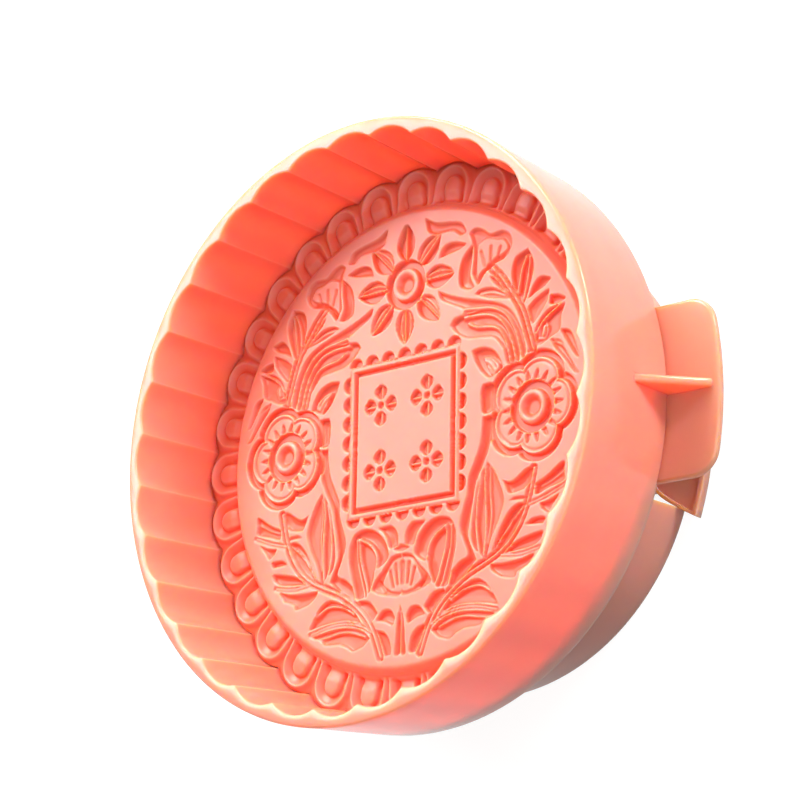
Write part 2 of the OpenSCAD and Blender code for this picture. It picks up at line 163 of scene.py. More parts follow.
def turn(thing, angle):
    """Turns a piece's mesh about the press's axis."""
    c, s = math.cos(angle), math.sin(angle)
    x, y, z = read(thing.data.vertices, "co", 3).T
    thing.data.vertices.foreach_set("co", np.stack([c * x - s * y, s * x + c * y, z], 1).ravel())
    return thing


# These bends set where a highlight is painted on edges and shade in corners.
def mark_bends(mesh, widest=4.0):
    """Writes how sharply the surface bends, in 1/mm: above zero on edges and below zero in corners.

    A face wider than the given area, in square millimetres, counts as flat.
    """
    points = read(mesh.vertices, "co", 3) / MM
    normals = read(mesh.vertex_normals, "vector", 3)
    i, j = read(mesh.edges, "vertices", 2, np.int32).T
    step = points[j] - points[i]
    bent = ((normals[j] - normals[i]) * step).sum(1) / np.maximum((step**2).sum(1), 1e-3)
    count = np.maximum(np.bincount(i, minlength=len(points)) + np.bincount(j, minlength=len(points)), 1)
    gather = lambda at_i, at_j: np.bincount(i, at_i, len(points)) + np.bincount(j, at_j, len(points))
    bend = gather(bent, bent) / count
    for _ in range(2):
        bend = (bend + gather(bend[j], bend[i]) / count) / 2
    narrow = read(mesh.polygons, "area", 1)[:, 0] / MM**2 < widest
    at_corner = np.repeat(narrow, read(mesh.polygons, "loop_total", 1, np.int32)[:, 0])
    values = bend[read(mesh.loops, "vertex_index", 1, np.int32)[:, 0]] * at_corner
    mesh.attributes.new("bend", "FLOAT", "CORNER").data.foreach_set("value", values.astype(np.float32))


def combine(target, others, how):
    """Adds other shells to a piece, or cuts them out of it, and removes them."""
    for other in others:
        change = target.modifiers.new(how, "BOOLEAN")
        change.operation = how
        change.solver = "MANIFOLD"
        change.object = other
        with bpy.context.temp_override(object=target, active_object=target):
            bpy.ops.object.modifier_apply(modifier=change.name)
        bpy.data.objects.remove(other)
    return target


def dress(thing, material, body, node, smooth_below=40):
    """Gives a finished shell its material and the body it moves with, and hides the imported node."""
    thing.data.shade_smooth()
    thing.data.set_sharp_from_angle(angle=math.radians(smooth_below))
    mark_bends(thing.data)
    thing.data.materials.clear()
    thing.data.materials.append(material)
    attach(thing, body)
    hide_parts(node)
    print(f"{thing.name}: {len(thing.data.polygons)} faces, rides on the {body}")


# %% [markdown]
# A moulded plate, ear or rib is an outline with thickness whose edges are rounded. The helper draws the
# outline in by a quarter circle at the bottom and at the top. Built this way the rounding is exact and
# keeps the same number of points all the way, which a bevel on a finished mesh would not.

# %% Plates with rounded edges
ROUND_STEPS = 5


def inset(outline, distance):
    """The outline, drawn in by a distance along its corners' normals."""
    before = outline - np.roll(outline, 1, axis=0)
    after = np.roll(outline, -1, axis=0) - outline
    along = before / np.linalg.norm(before, axis=1)[:, None] + after / np.linalg.norm(after, axis=1)[:, None]
    along /= np.linalg.norm(along, axis=1)[:, None]
    return outline + distance * np.stack([-along[:, 1], along[:, 0]], 1)


def slab(name, outline, low, high, edge):
    """A plate with round edges. The outline runs anticlockwise."""
    outline = np.asarray(outline, float)
    quarter = np.linspace(0, math.pi / 2, ROUND_STEPS)
    steps = [(edge * (1 - math.sin(a)), low + edge * (1 - math.cos(a))) for a in quarter]
    steps += [(edge * (1 - math.cos(a)), high - edge * (1 - math.sin(a))) for a in quarter]
    return make_piece(name, *skin([flat_ring(inset(outline, distance), z) for distance, z in steps]))


def arc(centre, radius, start, stop, count):
    angles = np.radians(np.linspace(start, stop, count))
    return [(centre[0] + radius * math.cos(a), centre[1] + radius * math.sin(a)) for a in angles]


def cylinder(name, place, radius, low, high, count=48):
    angles = np.linspace(0, 2 * math.pi, count, endpoint=False)
    rings = [ring(radius, angles, z) + [place[0], place[1], 0] for z in (low, high)]
    return make_piece(name, *skin(rings))


def round_places(radius, angles):
    return [(radius * math.cos(math.radians(a)), radius * math.sin(math.radians(a))) for a in angles]


# %% [markdown]
# ## The camera
# The camera stands where the photographer's did, worked out from the ellipse of the rim and the spacing
# of the flutes. It goes in before the materials. The lens is long, as product pictures are, which keeps the
# round rim from looking stretched.

# %% Camera
LENS = 104.26
CAMERA_PLACE = (365.4, -147.9, 455.2)
CAMERA_TURN = (16.607, 41.126, 1.223)

camera_data = bpy.data.cameras.new("camera")
camera_data.lens = LENS
camera_data.sensor_width = 36
camera = bpy.data.objects.new("camera", camera_data)
camera.location = Vector(CAMERA_PLACE) * MM
camera.rotation_euler = [math.radians(a) for a in CAMERA_TURN]
bpy.context.scene.collection.objects.link(camera)
bpy.context.scene.camera = camera
bpy.context.view_layer.update()
print("camera is", round(camera.location.length, 3), "m from the palm face")

# %% [markdown]
# ## The plastic
# The real plastic is coral, and light runs a few millimetres into it. Thick places look pale and milky,
# thin walls with light behind them glow orange, and the bottoms of grooves turn a deep red because light
# bounces there many times. A Principled shader with subsurface scattering gives all three, and shade
# painted into the colour deepens the grooves further. Red travels furthest in this plastic, so the
# scattering radius is longest in red.
#
# Two small effects are shared by all the pieces, so each is a node group. The first reads two numbers
# that are kept on the mesh itself: "bend" says how sharply it bends, and "sunk" how deep the carving
# is there. It paints a paler highlight on edges and a deeper shade into corners and carved grooves, and a
# faint cloud of paler tone runs through both. The second group is the unevenness of a moulded skin.

# %% Node groups shared by the materials
def new_group(name, inputs, outputs):
    group = bpy.data.node_groups.new(name, "ShaderNodeTree")
    for label, kind, value in inputs:
        socket = group.interface.new_socket(label, in_out="INPUT", socket_type=kind)
        socket.default_value = value
    for label, kind in outputs:
        group.interface.new_socket(label, in_out="OUTPUT", socket_type=kind)
    return group, group.nodes.new("NodeGroupInput"), group.nodes.new("NodeGroupOutput")


def add(tree, kind, **settings):
    node = tree.nodes.new(kind)
    for key, value in settings.items():
        setattr(node, key, value)
    return node


# Colour with painted highlights on edges, painted shade in corners and grooves, and a random tone.
def colour_and_painted_light_group():
    tree, given, put = new_group(
        "colour_and_painted_light",
        [("Body", "NodeSocketColor", (0.9, 0.3, 0.2, 1)), ("MottleAndHighlight", "NodeSocketColor", (1, 0.6, 0.5, 1)),
         ("PaintedShade", "NodeSocketColor", (0.8, 0.1, 0.05, 1)), ("MottleAndHighlight Amount", "NodeSocketFloat", 0.5),
         ("PaintedShade Amount", "NodeSocketFloat", 0.5), ("Cloud Amount", "NodeSocketFloat", 0.1)],
        [("Color", "NodeSocketColor")],
    )
    link = tree.links.new

    def mask_of(source, low, high):
        mask = add(tree, "ShaderNodeMapRange")
        mask.inputs["From Min"].default_value = low
        mask.inputs["From Max"].default_value = high
        link(source, mask.inputs["Value"])
        return mask.outputs["Result"]

    place = add(tree, "ShaderNodeTexCoord")
    cloud = add(tree, "ShaderNodeTexNoise")
    cloud.inputs["Scale"].default_value = 45
    cloud.inputs["Detail"].default_value = 3
    link(place.outputs["Object"], cloud.inputs["Vector"])
    bend = add(tree, "ShaderNodeAttribute", attribute_name="bend").outputs["Fac"]
    sunk = add(tree, "ShaderNodeAttribute", attribute_name="sunk").outputs["Fac"]
    colour = given.outputs["Body"]
    # The cloud is random tone; the rest paint shade in grooves and corners and a highlight on edges.
    for mask, amount, tint in ((mask_of(cloud.outputs["Fac"], 0.35, 0.7), "Cloud Amount", "MottleAndHighlight"),
                               (mask_of(sunk, 0.0, 1.0), "PaintedShade Amount", "PaintedShade"),
                               (mask_of(bend, 0.0, -1.2), "PaintedShade Amount", "PaintedShade"),
                               (mask_of(bend, 0.1, 1.2), "MottleAndHighlight Amount", "MottleAndHighlight")):
        strength = add(tree, "ShaderNodeMath", operation="MULTIPLY")
        mix = add(tree, "ShaderNodeMix", data_type="RGBA")
        link(mask, strength.inputs[0])
        link(given.outputs[amount], strength.inputs[1])
        link(strength.outputs[0], mix.inputs["Factor"])
        link(colour, mix.inputs["A"])
        link(given.outputs[tint], mix.inputs["B"])
        colour = mix.outputs["Result"]
    link(colour, put.inputs["Color"])
    return tree


def skin_group():
    tree, given, put = new_group(
        "moulded_skin",
        [("Roughness", "NodeSocketFloat", 0.25), ("Spread", "NodeSocketFloat", 0.06),
         ("Peel", "NodeSocketFloat", 0.02), ("Scale", "NodeSocketFloat", 120.0)],
        [("Roughness", "NodeSocketFloat"), ("Normal", "NodeSocketVector")],
    )
    link = tree.links.new
    place = add(tree, "ShaderNodeTexCoord")
    cloud = add(tree, "ShaderNodeTexNoise")
    cloud.inputs["Detail"].default_value = 4
    spread = add(tree, "ShaderNodeMath", operation="MULTIPLY_ADD")
    spread_low = add(tree, "ShaderNodeMath", operation="SUBTRACT")
    half = add(tree, "ShaderNodeMath", operation="MULTIPLY")
    half.inputs[1].default_value = 0.5
    bump = add(tree, "ShaderNodeBump")
    bump.inputs["Distance"].default_value = 0.0002
    link(place.outputs["Object"], cloud.inputs["Vector"])
    link(given.outputs["Scale"], cloud.inputs["Scale"])
    link(given.outputs["Spread"], half.inputs[0])
    link(given.outputs["Roughness"], spread_low.inputs[0])
    link(half.outputs[0], spread_low.inputs[1])
    link(cloud.outputs["Fac"], spread.inputs[0])
    link(given.outputs["Spread"], spread.inputs[1])
    link(spread_low.outputs[0], spread.inputs[2])
    link(spread.outputs[0], put.inputs["Roughness"])
    link(cloud.outputs["Fac"], bump.inputs["Height"])
    link(given.outputs["Peel"], bump.inputs["Strength"])
    link(bump.outputs["Normal"], put.inputs["Normal"])
    return tree


colour_and_painted_light = colour_and_painted_light_group()
moulded_skin = skin_group()
print("node groups:", colour_and_painted_light.name, moulded_skin.name)

# %% [markdown]
# The barrel and the cap are polished mouldings. The stamp comes from an engraved insert that was not
# polished, so it is duller and a little deeper in colour. Its material also paints a stronger highlight
# on edges and stronger shade in its grooves than the polished one. One function makes both plastics from
# the same groups.

# %% Plastic materials
BODY = (0.93, 0.26, 0.18, 1)
FACE = (0.92, 0.22, 0.15, 1)
# Pale tint of the random cloud and of the highlight painted on edges.
MOTTLE_AND_HIGHLIGHT = (1, 0.58, 0.5, 1)
# Deep red painted as shade into corners and carved grooves.
PAINTED_SHADE = (0.88, 0.1, 0.035, 1)


def group_node(tree, group, **values):
    node = add(tree, "ShaderNodeGroup", node_tree=group)
    for label, value in values.items():
        node.inputs[label.replace("_", " ")].default_value = value
    return node


def new_material(name):
    material = bpy.data.materials.new(name)
    material.use_nodes = True
    return material, material.node_tree, material.node_tree.nodes["Principled BSDF"]


def grouped_material(name, colours, skin_values):
    """A material whose colour comes from the first group, and its roughness and normal from the second."""
    material, tree, shader = new_material(name)
    colour = group_node(tree, colour_and_painted_light, **colours)
    surface = group_node(tree, moulded_skin, **skin_values)
    tree.links.new(colour.outputs["Color"], shader.inputs["Base Color"])
    tree.links.new(surface.outputs["Roughness"], shader.inputs["Roughness"])
    tree.links.new(surface.outputs["Normal"], shader.inputs["Normal"])
    return material, shader


# Two of the amounts paint a highlight on edges and shade into corners and carved grooves.
def coral(name, body, roughness, highlight_amount, shade_amount, depth, peel):
    """The plastic. depth is how far red light runs into it, in millimetres."""
    colours = dict(Body=body, MottleAndHighlight=MOTTLE_AND_HIGHLIGHT, PaintedShade=PAINTED_SHADE)
    amounts = dict(MottleAndHighlight_Amount=highlight_amount, PaintedShade_Amount=shade_amount, Cloud_Amount=0.08)
    skin_values = dict(Roughness=roughness, Spread=0.08, Peel=peel, Scale=160)
    material, shader = grouped_material(name, colours | amounts, skin_values)
    shader.subsurface_method = "RANDOM_WALK"
    shader.inputs["Subsurface Weight"].default_value = 1
    shader.inputs["Subsurface Radius"].default_value = (1.0, 0.6, 0.13)
    shader.inputs["Subsurface Scale"].default_value = depth * MM
    shader.inputs["IOR"].default_value = 1.49
    shader.inputs["Specular IOR Level"].default_value = 0.4
    material.diffuse_color = body
    return material


coral_gloss = coral("coral_gloss", BODY, roughness=0.18, highlight_amount=0.1, shade_amount=0.4, depth=10.0, peel=0.03)
coral_satin = coral("coral_satin", FACE, roughness=0.38, highlight_amount=0.45, shade_amount=0.9, depth=1.5, peel=0.06)
print("plastics:", coral_gloss.name, coral_satin.name)


# %% [markdown]
# ## The barrel
# The wall's outside is a smooth cone. Its inside is a ring of arcs that stand side by side, and where two
# arcs meet there is a ridge that the mould maker rounded a little. A formula gives the inside radius for
# every angle, and one skin runs from the centre of the rear wall, round the rim, and back to the centre
# of the floor. The samples crowd near the ridges, where the surface turns fastest.

# %% Radius of the fluted wall
RIDGE_SOFT = 0.16
flute_samples = np.array([0, 0.012, 0.03, 0.06, 0.11, 0.19, 0.3, 0.44, 0.6, 0.8])
flute_samples = np.concatenate([flute_samples, [1], 2 - flute_samples[:0:-1]]) / 2
flute_angles = np.concatenate([(i - 0.5 + flute_samples) * flute_step for i in range(flute_count)])


def arc_radius(turned, circle_r, arc_r):
    """How far out the arc reaches at an angle from its own middle."""
    across = circle_r * np.sin(turned)
    return circle_r * np.cos(turned) + np.sqrt(np.maximum(arc_r**2 - across**2, 0))


def fold(angle, step):
    """An angle within its own step of a pattern round the axis, zero in the middle of the step."""
    return (angle + step / 2) % step - step / 2


def flute_radius(angles, scale, shrink=0.0, soft=RIDGE_SOFT):
    """Inside radius of the wall: the arc that the angle lies in and the next one, blended where they meet.
    """
    turned = fold(angles, flute_step)
    circle_r, arc_r = flute_circle_r * scale, flute_r * scale - shrink
    own = arc_radius(turned, circle_r, arc_r)
    other = arc_radius(flute_step - np.abs(turned), circle_r, arc_r)
    return (own + other) / 2 + np.sqrt(((own - other) / 2) ** 2 + soft**2)


print(f"wall: {rim_r - flute_radius(np.array([0.0]), 1)[0]:.1f} mm at a flute")


# %% Skin of the barrel's wall
RIM_EDGE = 0.7
RIM_INNER_EDGE = 0.45
FOOT_EDGE = 0.6
COLLAR_EDGE = 0.5
COLLAR_FILLET = 0.3


def fillet(count=ROUND_STEPS):
    """Sine and cosine of a quarter turn, for rounding an edge."""
    return [(math.sin(a), math.cos(a)) for a in np.linspace(0, math.pi / 2, count)]


def barrel_shell():
    collar_r = wall_foot_r - collar_inset
    inner = lambda z: flute_radius(flute_angles, draft_at(z))
    steps = [(collar_r * share, end_z) for share in (0.3, 0.6, 0.9)]
    steps += [(collar_r - COLLAR_EDGE + COLLAR_EDGE * s, end_z + COLLAR_EDGE - COLLAR_EDGE * c)
              for s, c in fillet()]
    steps += [(collar_r + COLLAR_FILLET - COLLAR_FILLET * c, floor_z - COLLAR_FILLET + COLLAR_FILLET * s)
              for s, c in fillet(3)]
    steps += [(wall_foot_r - FOOT_EDGE + FOOT_EDGE * s, floor_z + FOOT_EDGE - FOOT_EDGE * c)
              for s, c in fillet()]
    steps += [(rim_r - (rim_z - z) * outer_draft, z) for z in np.linspace(floor_z + 4, rim_z - 4, 7)]
    steps += [(rim_r - RIM_EDGE + RIM_EDGE * c, rim_z - RIM_EDGE + RIM_EDGE * s) for s, c in fillet()]
    rim_inner = inner(rim_z)
    steps += [(rim_inner + RIM_INNER_EDGE * (1 - s), rim_z - RIM_INNER_EDGE * (1 - c))
              for s, c in fillet()]
    steps += [(inner(z), z) for z in np.linspace(rim_z - 2, floor_z + 1.5, 14)]
    foot = inner(floor_z)
    steps += [(foot - FOOT_EDGE * (1 - c), floor_z + FOOT_EDGE * (1 - s)) for s, c in fillet(4)]
    steps += [(foot * share, floor_z) for share in (0.9, 0.6, 0.3)]
    return make_piece("barrel_moulding", *skin([ring(radius, flute_angles, z) for radius, z in steps]))


barrel = barrel_shell()
print("barrel skin:", len(barrel.data.polygons), "faces")

# %% [markdown]
# The finger plates, their gussets and the four spring cups are added to that shell with a boolean, and
# the slots for the cap's skirts and the holes for its posts are cut out of it. A boolean joins them into
# one watertight moulding, as the real one is, so light can pass from the wall into an ear without a seam.

# %% Finger plates and gussets
EAR_W = 42.4
EAR_T = 1.9
EAR_CORNER_R = 7
EAR_EDGE = 0.8
EAR_ROOT_R = 64
RIB_T = 2.0
RIB_H = 14.4
RIB_INSET = 2.1
RIB_EDGE = 0.75
RIB_ROOT = 0.6


def finger_plate(angle):
    corner_y = EAR_W / 2 - EAR_CORNER_R
    corner_x = math.sqrt((ear_r - EAR_CORNER_R) ** 2 - corner_y**2)
    tilt = math.degrees(math.atan2(corner_y, corner_x))
    outline = [(EAR_ROOT_R, -EAR_W / 2)]
    outline += arc((corner_x, -corner_y), EAR_CORNER_R, -90, -tilt, 12)
    outline += arc((0, 0), ear_r, -tilt, tilt, 16)[1:-1]
    outline += arc((corner_x, corner_y), EAR_CORNER_R, tilt, 90, 12)
    outline += [(EAR_ROOT_R, EAR_W / 2)]
    return turn(slab("ear", outline, end_z, end_z + EAR_T, EAR_EDGE), angle)


def gusset(angle):
    """The rib between a finger plate and the wall. Its root runs a little way into both."""
    top = end_z + EAR_T + RIB_H
    shoulder = wall_foot_r + (top - floor_z) * outer_draft
    foot = ear_r - RIB_INSET
    low = end_z + EAR_T - RIB_ROOT
    root = wall_foot_r - RIB_ROOT
    outline = [(root, low), (foot, low), (foot, low + 1.2), (foot - 0.5, low + 2.0),
               (shoulder + 0.5, top - 0.4), (shoulder, top), (root, top)]
    rib = slab("rib", outline, -RIB_T / 2, RIB_T / 2, RIB_EDGE)
    x, z, y = read(rib.data.vertices, "co", 3).T
    rib.data.vertices.foreach_set("co", np.stack([x, -y, z], 1).ravel())
    return turn(rib, angle)


sides = (0, math.pi)
combine(barrel, [make(angle) for angle in sides for make in (finger_plate, gusset)], "UNION")
print("barrel with ears:", len(barrel.data.polygons), "faces")

# %% Spring cups, slots and holes of the end wall
CORNERS = (45, 135, 225, 315)
SPRING_CIRCLE_R = 34
POST_CIRCLE_R = 51
SPRING_R = 7
CUP_GAP = 0.6
CUP_T = 1.2
CUP_DEPTH = 6.4
POST_R = 3.8
POST_GAP = 0.35
SKIRT_T = 2.3
RUN_GAP = 0.6
NOTCH_HALF_W = 20.1
spring_places = round_places(SPRING_CIRCLE_R, CORNERS)
post_places = round_places(POST_CIRCLE_R, CORNERS)


def arc_block(name, inner_r, outer_r, start, stop, low, high, count=97):
    angles = np.radians(np.linspace(start, stop, count))
    rings = [[(r * math.cos(a), r * math.sin(a), z) for r, z in
              ((inner_r, low), (inner_r, high), (outer_r, high), (outer_r, low))] for a in angles]
    return make_piece(name, *skin(rings))


def end_wall_cutters():
    """The slots for the two skirts, the bores of the spring cups and the holes for the posts."""
    bridge = math.degrees(math.asin((NOTCH_HALF_W - RUN_GAP) / cap_r))
    inner_r, outer_r = cap_r - SKIRT_T - RUN_GAP, cap_r + RUN_GAP
    cutters = [arc_block("slot", inner_r, outer_r, start + bridge, start + 180 - bridge,
                         end_z - 1, floor_z + 1) for start in (0, 180)]
    for place in spring_places:
        cutters.append(cylinder("cup_bore", place, SPRING_R + CUP_GAP, end_z - 1, end_z + CUP_DEPTH))
    for place in post_places:
        cutters.append(cylinder("post_hole", place, POST_R + POST_GAP, end_z - 1, floor_z + 1))
    return cutters


cup_r = SPRING_R + CUP_GAP + CUP_T
cups = [cylinder("cup", place, cup_r, end_z + 0.5, end_z + CUP_DEPTH + CUP_T) for place in spring_places]
combine(barrel, cups, "UNION")
combine(barrel, end_wall_cutters(), "DIFFERENCE")
dress(barrel, coral_gloss, "barrel", "barrel")

# %% [markdown]
# ## The pusher cap
# The cap is a shallow cup that the palm pushes. Its skirt is open at each finger plate, and a small
# lipped wing fills the opening. It is turned as one skin with a rounded rear edge, then the openings are
# cut and the wings, the four posts and the spigots inside are added.

# %% Cup of the cap
PALM_T = 2.4
CAP_EDGE = 1.6
CAP_SIDES = 384
SKIRT_EDGE = 0.4
PALM_FILLET = 1
NOTCH_R = 50
NOTCH_CORNER_R = 2.2
SPIGOT_H = 2.5
SPIGOT_R = 5.24


def cap_shell():
    angles = np.linspace(0, 2 * math.pi, CAP_SIDES, endpoint=False)
    inner_r = cap_r - SKIRT_T
    steps = [((cap_r - CAP_EDGE) * share, 0) for share in (0.3, 0.6, 0.9)]
    steps += [(cap_r - CAP_EDGE + CAP_EDGE * s, CAP_EDGE - CAP_EDGE * c) for s, c in fillet(9)]
    steps += [(cap_r, z) for z in (8, 16, 24)]
    steps += [(cap_r - SKIRT_EDGE + SKIRT_EDGE * c, post_top_z - SKIRT_EDGE + SKIRT_EDGE * s)
              for s, c in fillet()]
    steps += [(inner_r + SKIRT_EDGE - SKIRT_EDGE * s, post_top_z - SKIRT_EDGE + SKIRT_EDGE * c)
              for s, c in fillet()]
    steps += [(inner_r, z) for z in (24, 16, 8)]
    steps += [(inner_r - PALM_FILLET + PALM_FILLET * c, PALM_T + PALM_FILLET - PALM_FILLET * s)
              for s, c in fillet()]
    steps += [(inner_r * share, PALM_T) for share in (0.9, 0.6, 0.3)]
    return make_piece("cap_moulding", *skin([ring(radius, angles, z) for radius, z in steps]))


def notch_cutter(angle):
    """The opening at a finger plate, with flat sides that flare at the rear to round the corners there."""
    flare = [(NOTCH_CORNER_R * (1 - s), NOTCH_CORNER_R * (1 - c)) for s, c in fillet(9)]
    rings = []
    for wider, z in [(NOTCH_CORNER_R, -1), *flare, (0, post_top_z + 1)]:
        half_w = NOTCH_HALF_W + wider
        tilt = math.degrees(math.asin(half_w / NOTCH_R))
        outline = [*arc((0, 0), NOTCH_R, tilt, -tilt, 25), (90, -half_w), (90, half_w)]
        rings.append(flat_ring(outline, z))
    return turn(make_piece("notch", *skin(rings)), angle)


cap = cap_shell()
combine(cap, [notch_cutter(angle) for angle in sides], "DIFFERENCE")
print("cap:", len(cap.data.polygons), "faces")

# %% Wings with their lips
WING_HALF_W = 23.2
WING_ROOT_HALF_W = 15.5
WING_Z = 2.0
WING_T = 1.8
WING_EDGE = 0.5
LIP_H = 0.8
LIP_W = 1.5
LIP_EDGE = 0.45


def wing_outline(inward):
    """Outline of a wing: it flares from its root to an arc round the axis."""
    tip_r = wing_r - inward
    tip_y = WING_HALF_W - inward
    root_y = WING_ROOT_HALF_W - inward
    tip_angle = math.degrees(math.asin(tip_y / tip_r))
    tip_x = math.sqrt(tip_r**2 - tip_y**2)
    bow = [(NOTCH_R + 1 + (tip_x - NOTCH_R - 1) * t, -root_y - (tip_y - root_y) * t**0.8)
           for t in np.arange(8) / 8]
    lower = [(NOTCH_R - 4, -root_y), *bow]
    upper = [(x, -y) for x, y in lower[::-1]]
    return lower + arc((0, 0), tip_r, -tip_angle, tip_angle, 25) + upper


def wing(angle):
    """A wing and, on its front, a lip that follows its free edge."""
    plate = slab("wing", wing_outline(0), WING_Z, WING_Z + WING_T, WING_EDGE)
    top = WING_Z + WING_T + LIP_H
    lip = slab("lip", wing_outline(0), WING_Z + 0.6, top, LIP_EDGE)
    combine(lip, [prism("lip_pocket", wing_outline(LIP_W), WING_Z + WING_T, top + 1)], "DIFFERENCE")
    combine(plate, [lip], "UNION")
    return turn(plate, angle)


combine(cap, [wing(angle) for angle in sides], "UNION")
print("cap with wings:", len(cap.data.polygons), "faces")

# %% Posts and spigots
SCREW_R = 1.5
SCREW_L = 12
BORE_GAP = 0.15
root_z = PALM_T - 0.5
posts = [cylinder("post", place, POST_R, root_z, post_top_z) for place in post_places]
spigots = [cylinder("spigot", place, SPIGOT_R, root_z, PALM_T + SPIGOT_H) for place in spring_places]
bores = [cylinder("bore", place, SCREW_R + BORE_GAP, post_top_z - SCREW_L, post_top_z + 1, 24)
         for place in post_places]
combine(cap, posts + spigots, "UNION")
combine(cap, bores, "DIFFERENCE")
dress(cap, coral_gloss, "pusher", "pusher_cap")

# %% [markdown]
# ## The stamp
# The stamp is the face that the photograph is about: a wreath of flowers and leaves round a framed field,
# inside a ring of scallop arches. All of it is real relief, and not a bump map, because the carving is
# more than a millimetre deep and its walls catch the light. The face is a fine polar grid, and each point
# is lowered by a depth that the shapes below give. A grid that is polar has its points on the arches' own
# lines.

# %% Polar grid of the face
SPACING = 0.3
FINEST = 38 * flute_count
HALVE_BELOW = 34
STAMP_FOOT_T = 3.5
SLOPE_W = 3.0
STAMP_GAP = 0.15
foot_z = stamp_z + STAMP_FOOT_T
disc_r = 57.6
slope_foot_r = disc_r + SLOPE_W
stamp_scale = draft_at(stamp_z)


def ring_counts(radii):
    """Points on each ring: all of them down to HALVE_BELOW, then half as many at each halving of it."""
    counts = []
    for r in radii:
        halvings = max(0, math.ceil(math.log2(HALVE_BELOW / r))) if r < HALVE_BELOW else 0
        counts.append(FINEST // 2 ** min(halvings, 5))
    return counts


inner_radii = np.arange(1, round(slope_foot_r / SPACING) + 1) * SPACING
inner_radii[-1] = slope_foot_r
outer_shares = np.linspace(0, 1, 38)[1:]
counts = ring_counts(inner_radii) + [FINEST] * len(outer_shares)
print("rings:", len(counts), "points:", sum(counts))

# %% [markdown]
# Each shape of the carving is drawn with a few points and smooth curves between them, in millimetres, for
# the right half only: the wreath is a mirror image about its upright axis. `sink` lowers the inside of a
# closed outline, with a steep wall at its edge and a slightly dished floor. `rib` raises a thin line
# inside what has been sunk, as the veins are, and `lift` raises a patch of it.

# %% Tools of the engraver
def ease(t):
    t = np.clip(t, 0, 1)
    return t * t * (3 - 2 * t)


def curve(points, steps=8):
    """A smooth open curve through the points."""
    p = np.asarray(points, float)
    if len(p) == 2:
        return p
    ends = np.vstack([2 * p[0] - p[1], p, 2 * p[-1] - p[-2]])
    t = np.linspace(0, 1, steps, endpoint=False)[:, None]
    parts = []
    for a, b, c, d in zip(ends, ends[1:], ends[2:], ends[3:]):
        parts.append(0.5 * (2 * b + (c - a) * t + (2 * a - 5 * b + 4 * c - d) * t**2
                            + (3 * b - a - 3 * c + d) * t**3))
    return np.vstack([*parts, p[-1:]])


def outline_of(sides_of_it):
    """A closed outline of smooth sides that meet in corners."""
    parts = []
    for side, following in zip(sides_of_it, [*sides_of_it[1:], sides_of_it[0]]):
        parts.append(curve([*side, following[0]])[:-1])
    return np.vstack(parts)


def distance_to(line, x, y):
    a, b = line[:-1], line[1:]
    d = b - a
    px, py = x[:, None] - a[:, 0], y[:, None] - a[:, 1]
    t = np.clip((px * d[:, 0] + py * d[:, 1]) / np.maximum((d**2).sum(1), 1e-9), 0, 1)
    return np.sqrt(((px - t * d[:, 0]) ** 2 + (py - t * d[:, 1]) ** 2).min(1))


def inside_by(outline, x, y):
    """Distance to a closed outline, above zero inside it."""
    closed = np.vstack([outline, outline[:1]])
    a, b = closed[:-1], closed[1:]
    rise = np.where(a[:, 1] == b[:, 1], 1e-9, b[:, 1] - a[:, 1])
    above = (a[:, 1] > y[:, None]) != (b[:, 1] > y[:, None])
    left = x[:, None] < (b[:, 0] - a[:, 0]) * (y[:, None] - a[:, 1]) / rise + a[:, 0]
    odd = (above & left).sum(1) % 2 == 1
    return np.where(odd, 1, -1) * distance_to(closed, x, y)


class Carving:
    """Depth below the stamp's face at a set of points. The right half is drawn, and the left mirrors it."""

    WALL = 0.55

    def __init__(self, x, y):
        self.x, self.y = np.abs(x), y
        self.depth = np.zeros(len(x))

    def near(self, line, margin):
        """The points that lie in the line's own box, widened by a margin."""
        low, high = line.min(0) - margin, line.max(0) + margin
        in_x, in_y = (self.x > low[0]) & (self.x < high[0]), (self.y > low[1]) & (self.y < high[1])
        return np.flatnonzero(in_x & in_y)

    def sink(self, depth, *sides_of_it, dish=0.3):
        outline = outline_of(sides_of_it)
        here = self.near(outline, 0)
        inside = inside_by(outline, self.x[here], self.y[here])
        made = depth * ease(inside / self.WALL) * (1 - dish + dish * ease(inside / 2.2))
        self.depth[here] = np.maximum(self.depth[here], made)

    def lift(self, level, *sides_of_it):
        outline = outline_of(sides_of_it)
        here = self.near(outline, 0)
        share = ease(inside_by(outline, self.x[here], self.y[here]) / 0.5)
        deeper = np.maximum(self.depth[here] - level, 0)
        self.depth[here] -= share * deeper

    def rib(self, height, *points, half_w=0.34):
        line = curve(points)
        here = self.near(line, 1.5)
        away = distance_to(line, self.x[here], self.y[here])
        raised = self.depth[here] - height * np.exp(-((away / half_w) ** 2))
        self.depth[here] = np.where(self.depth[here] > 0, np.maximum(raised, 0), 0)

    def stem(self, depth, half_w, *points):
        line = curve(points)
        here = self.near(line, half_w)
        away = distance_to(line, self.x[here], self.y[here])
        made = depth * ease((half_w - away) / min(self.WALL, half_w))
        self.depth[here] = np.maximum(self.depth[here], made)

    def polar(self, centre):
        """Distance and angle of every point from a flower's centre."""
        dx, dy = self.x - centre[0], self.y - centre[1]
        return np.hypot(dx, dy), np.arctan2(dy, dx)

    def merge(self, made):
        self.depth = np.maximum(self.depth, made)


# %% [markdown]
# Four kinds of shape follow rules and need no points at all: the daisy at the top, the two side flowers,
# the frame round the middle with its row of scallops, and the plain rosettes that fill the frame.

# %% Flowers and frame
def ring_band(r, inner, outer, depth, wall=0.5):
    """A groove between two radii."""
    return depth * ease((r - inner) / wall) * ease((outer - r) / wall)


def eye(r):
    """The sunken centre of a flower, the ring round it and the groove round that."""
    return np.maximum(1.35 * ease((3.3 - r) / 1.9), ring_band(r, 4.0, 6.7, 1.55))


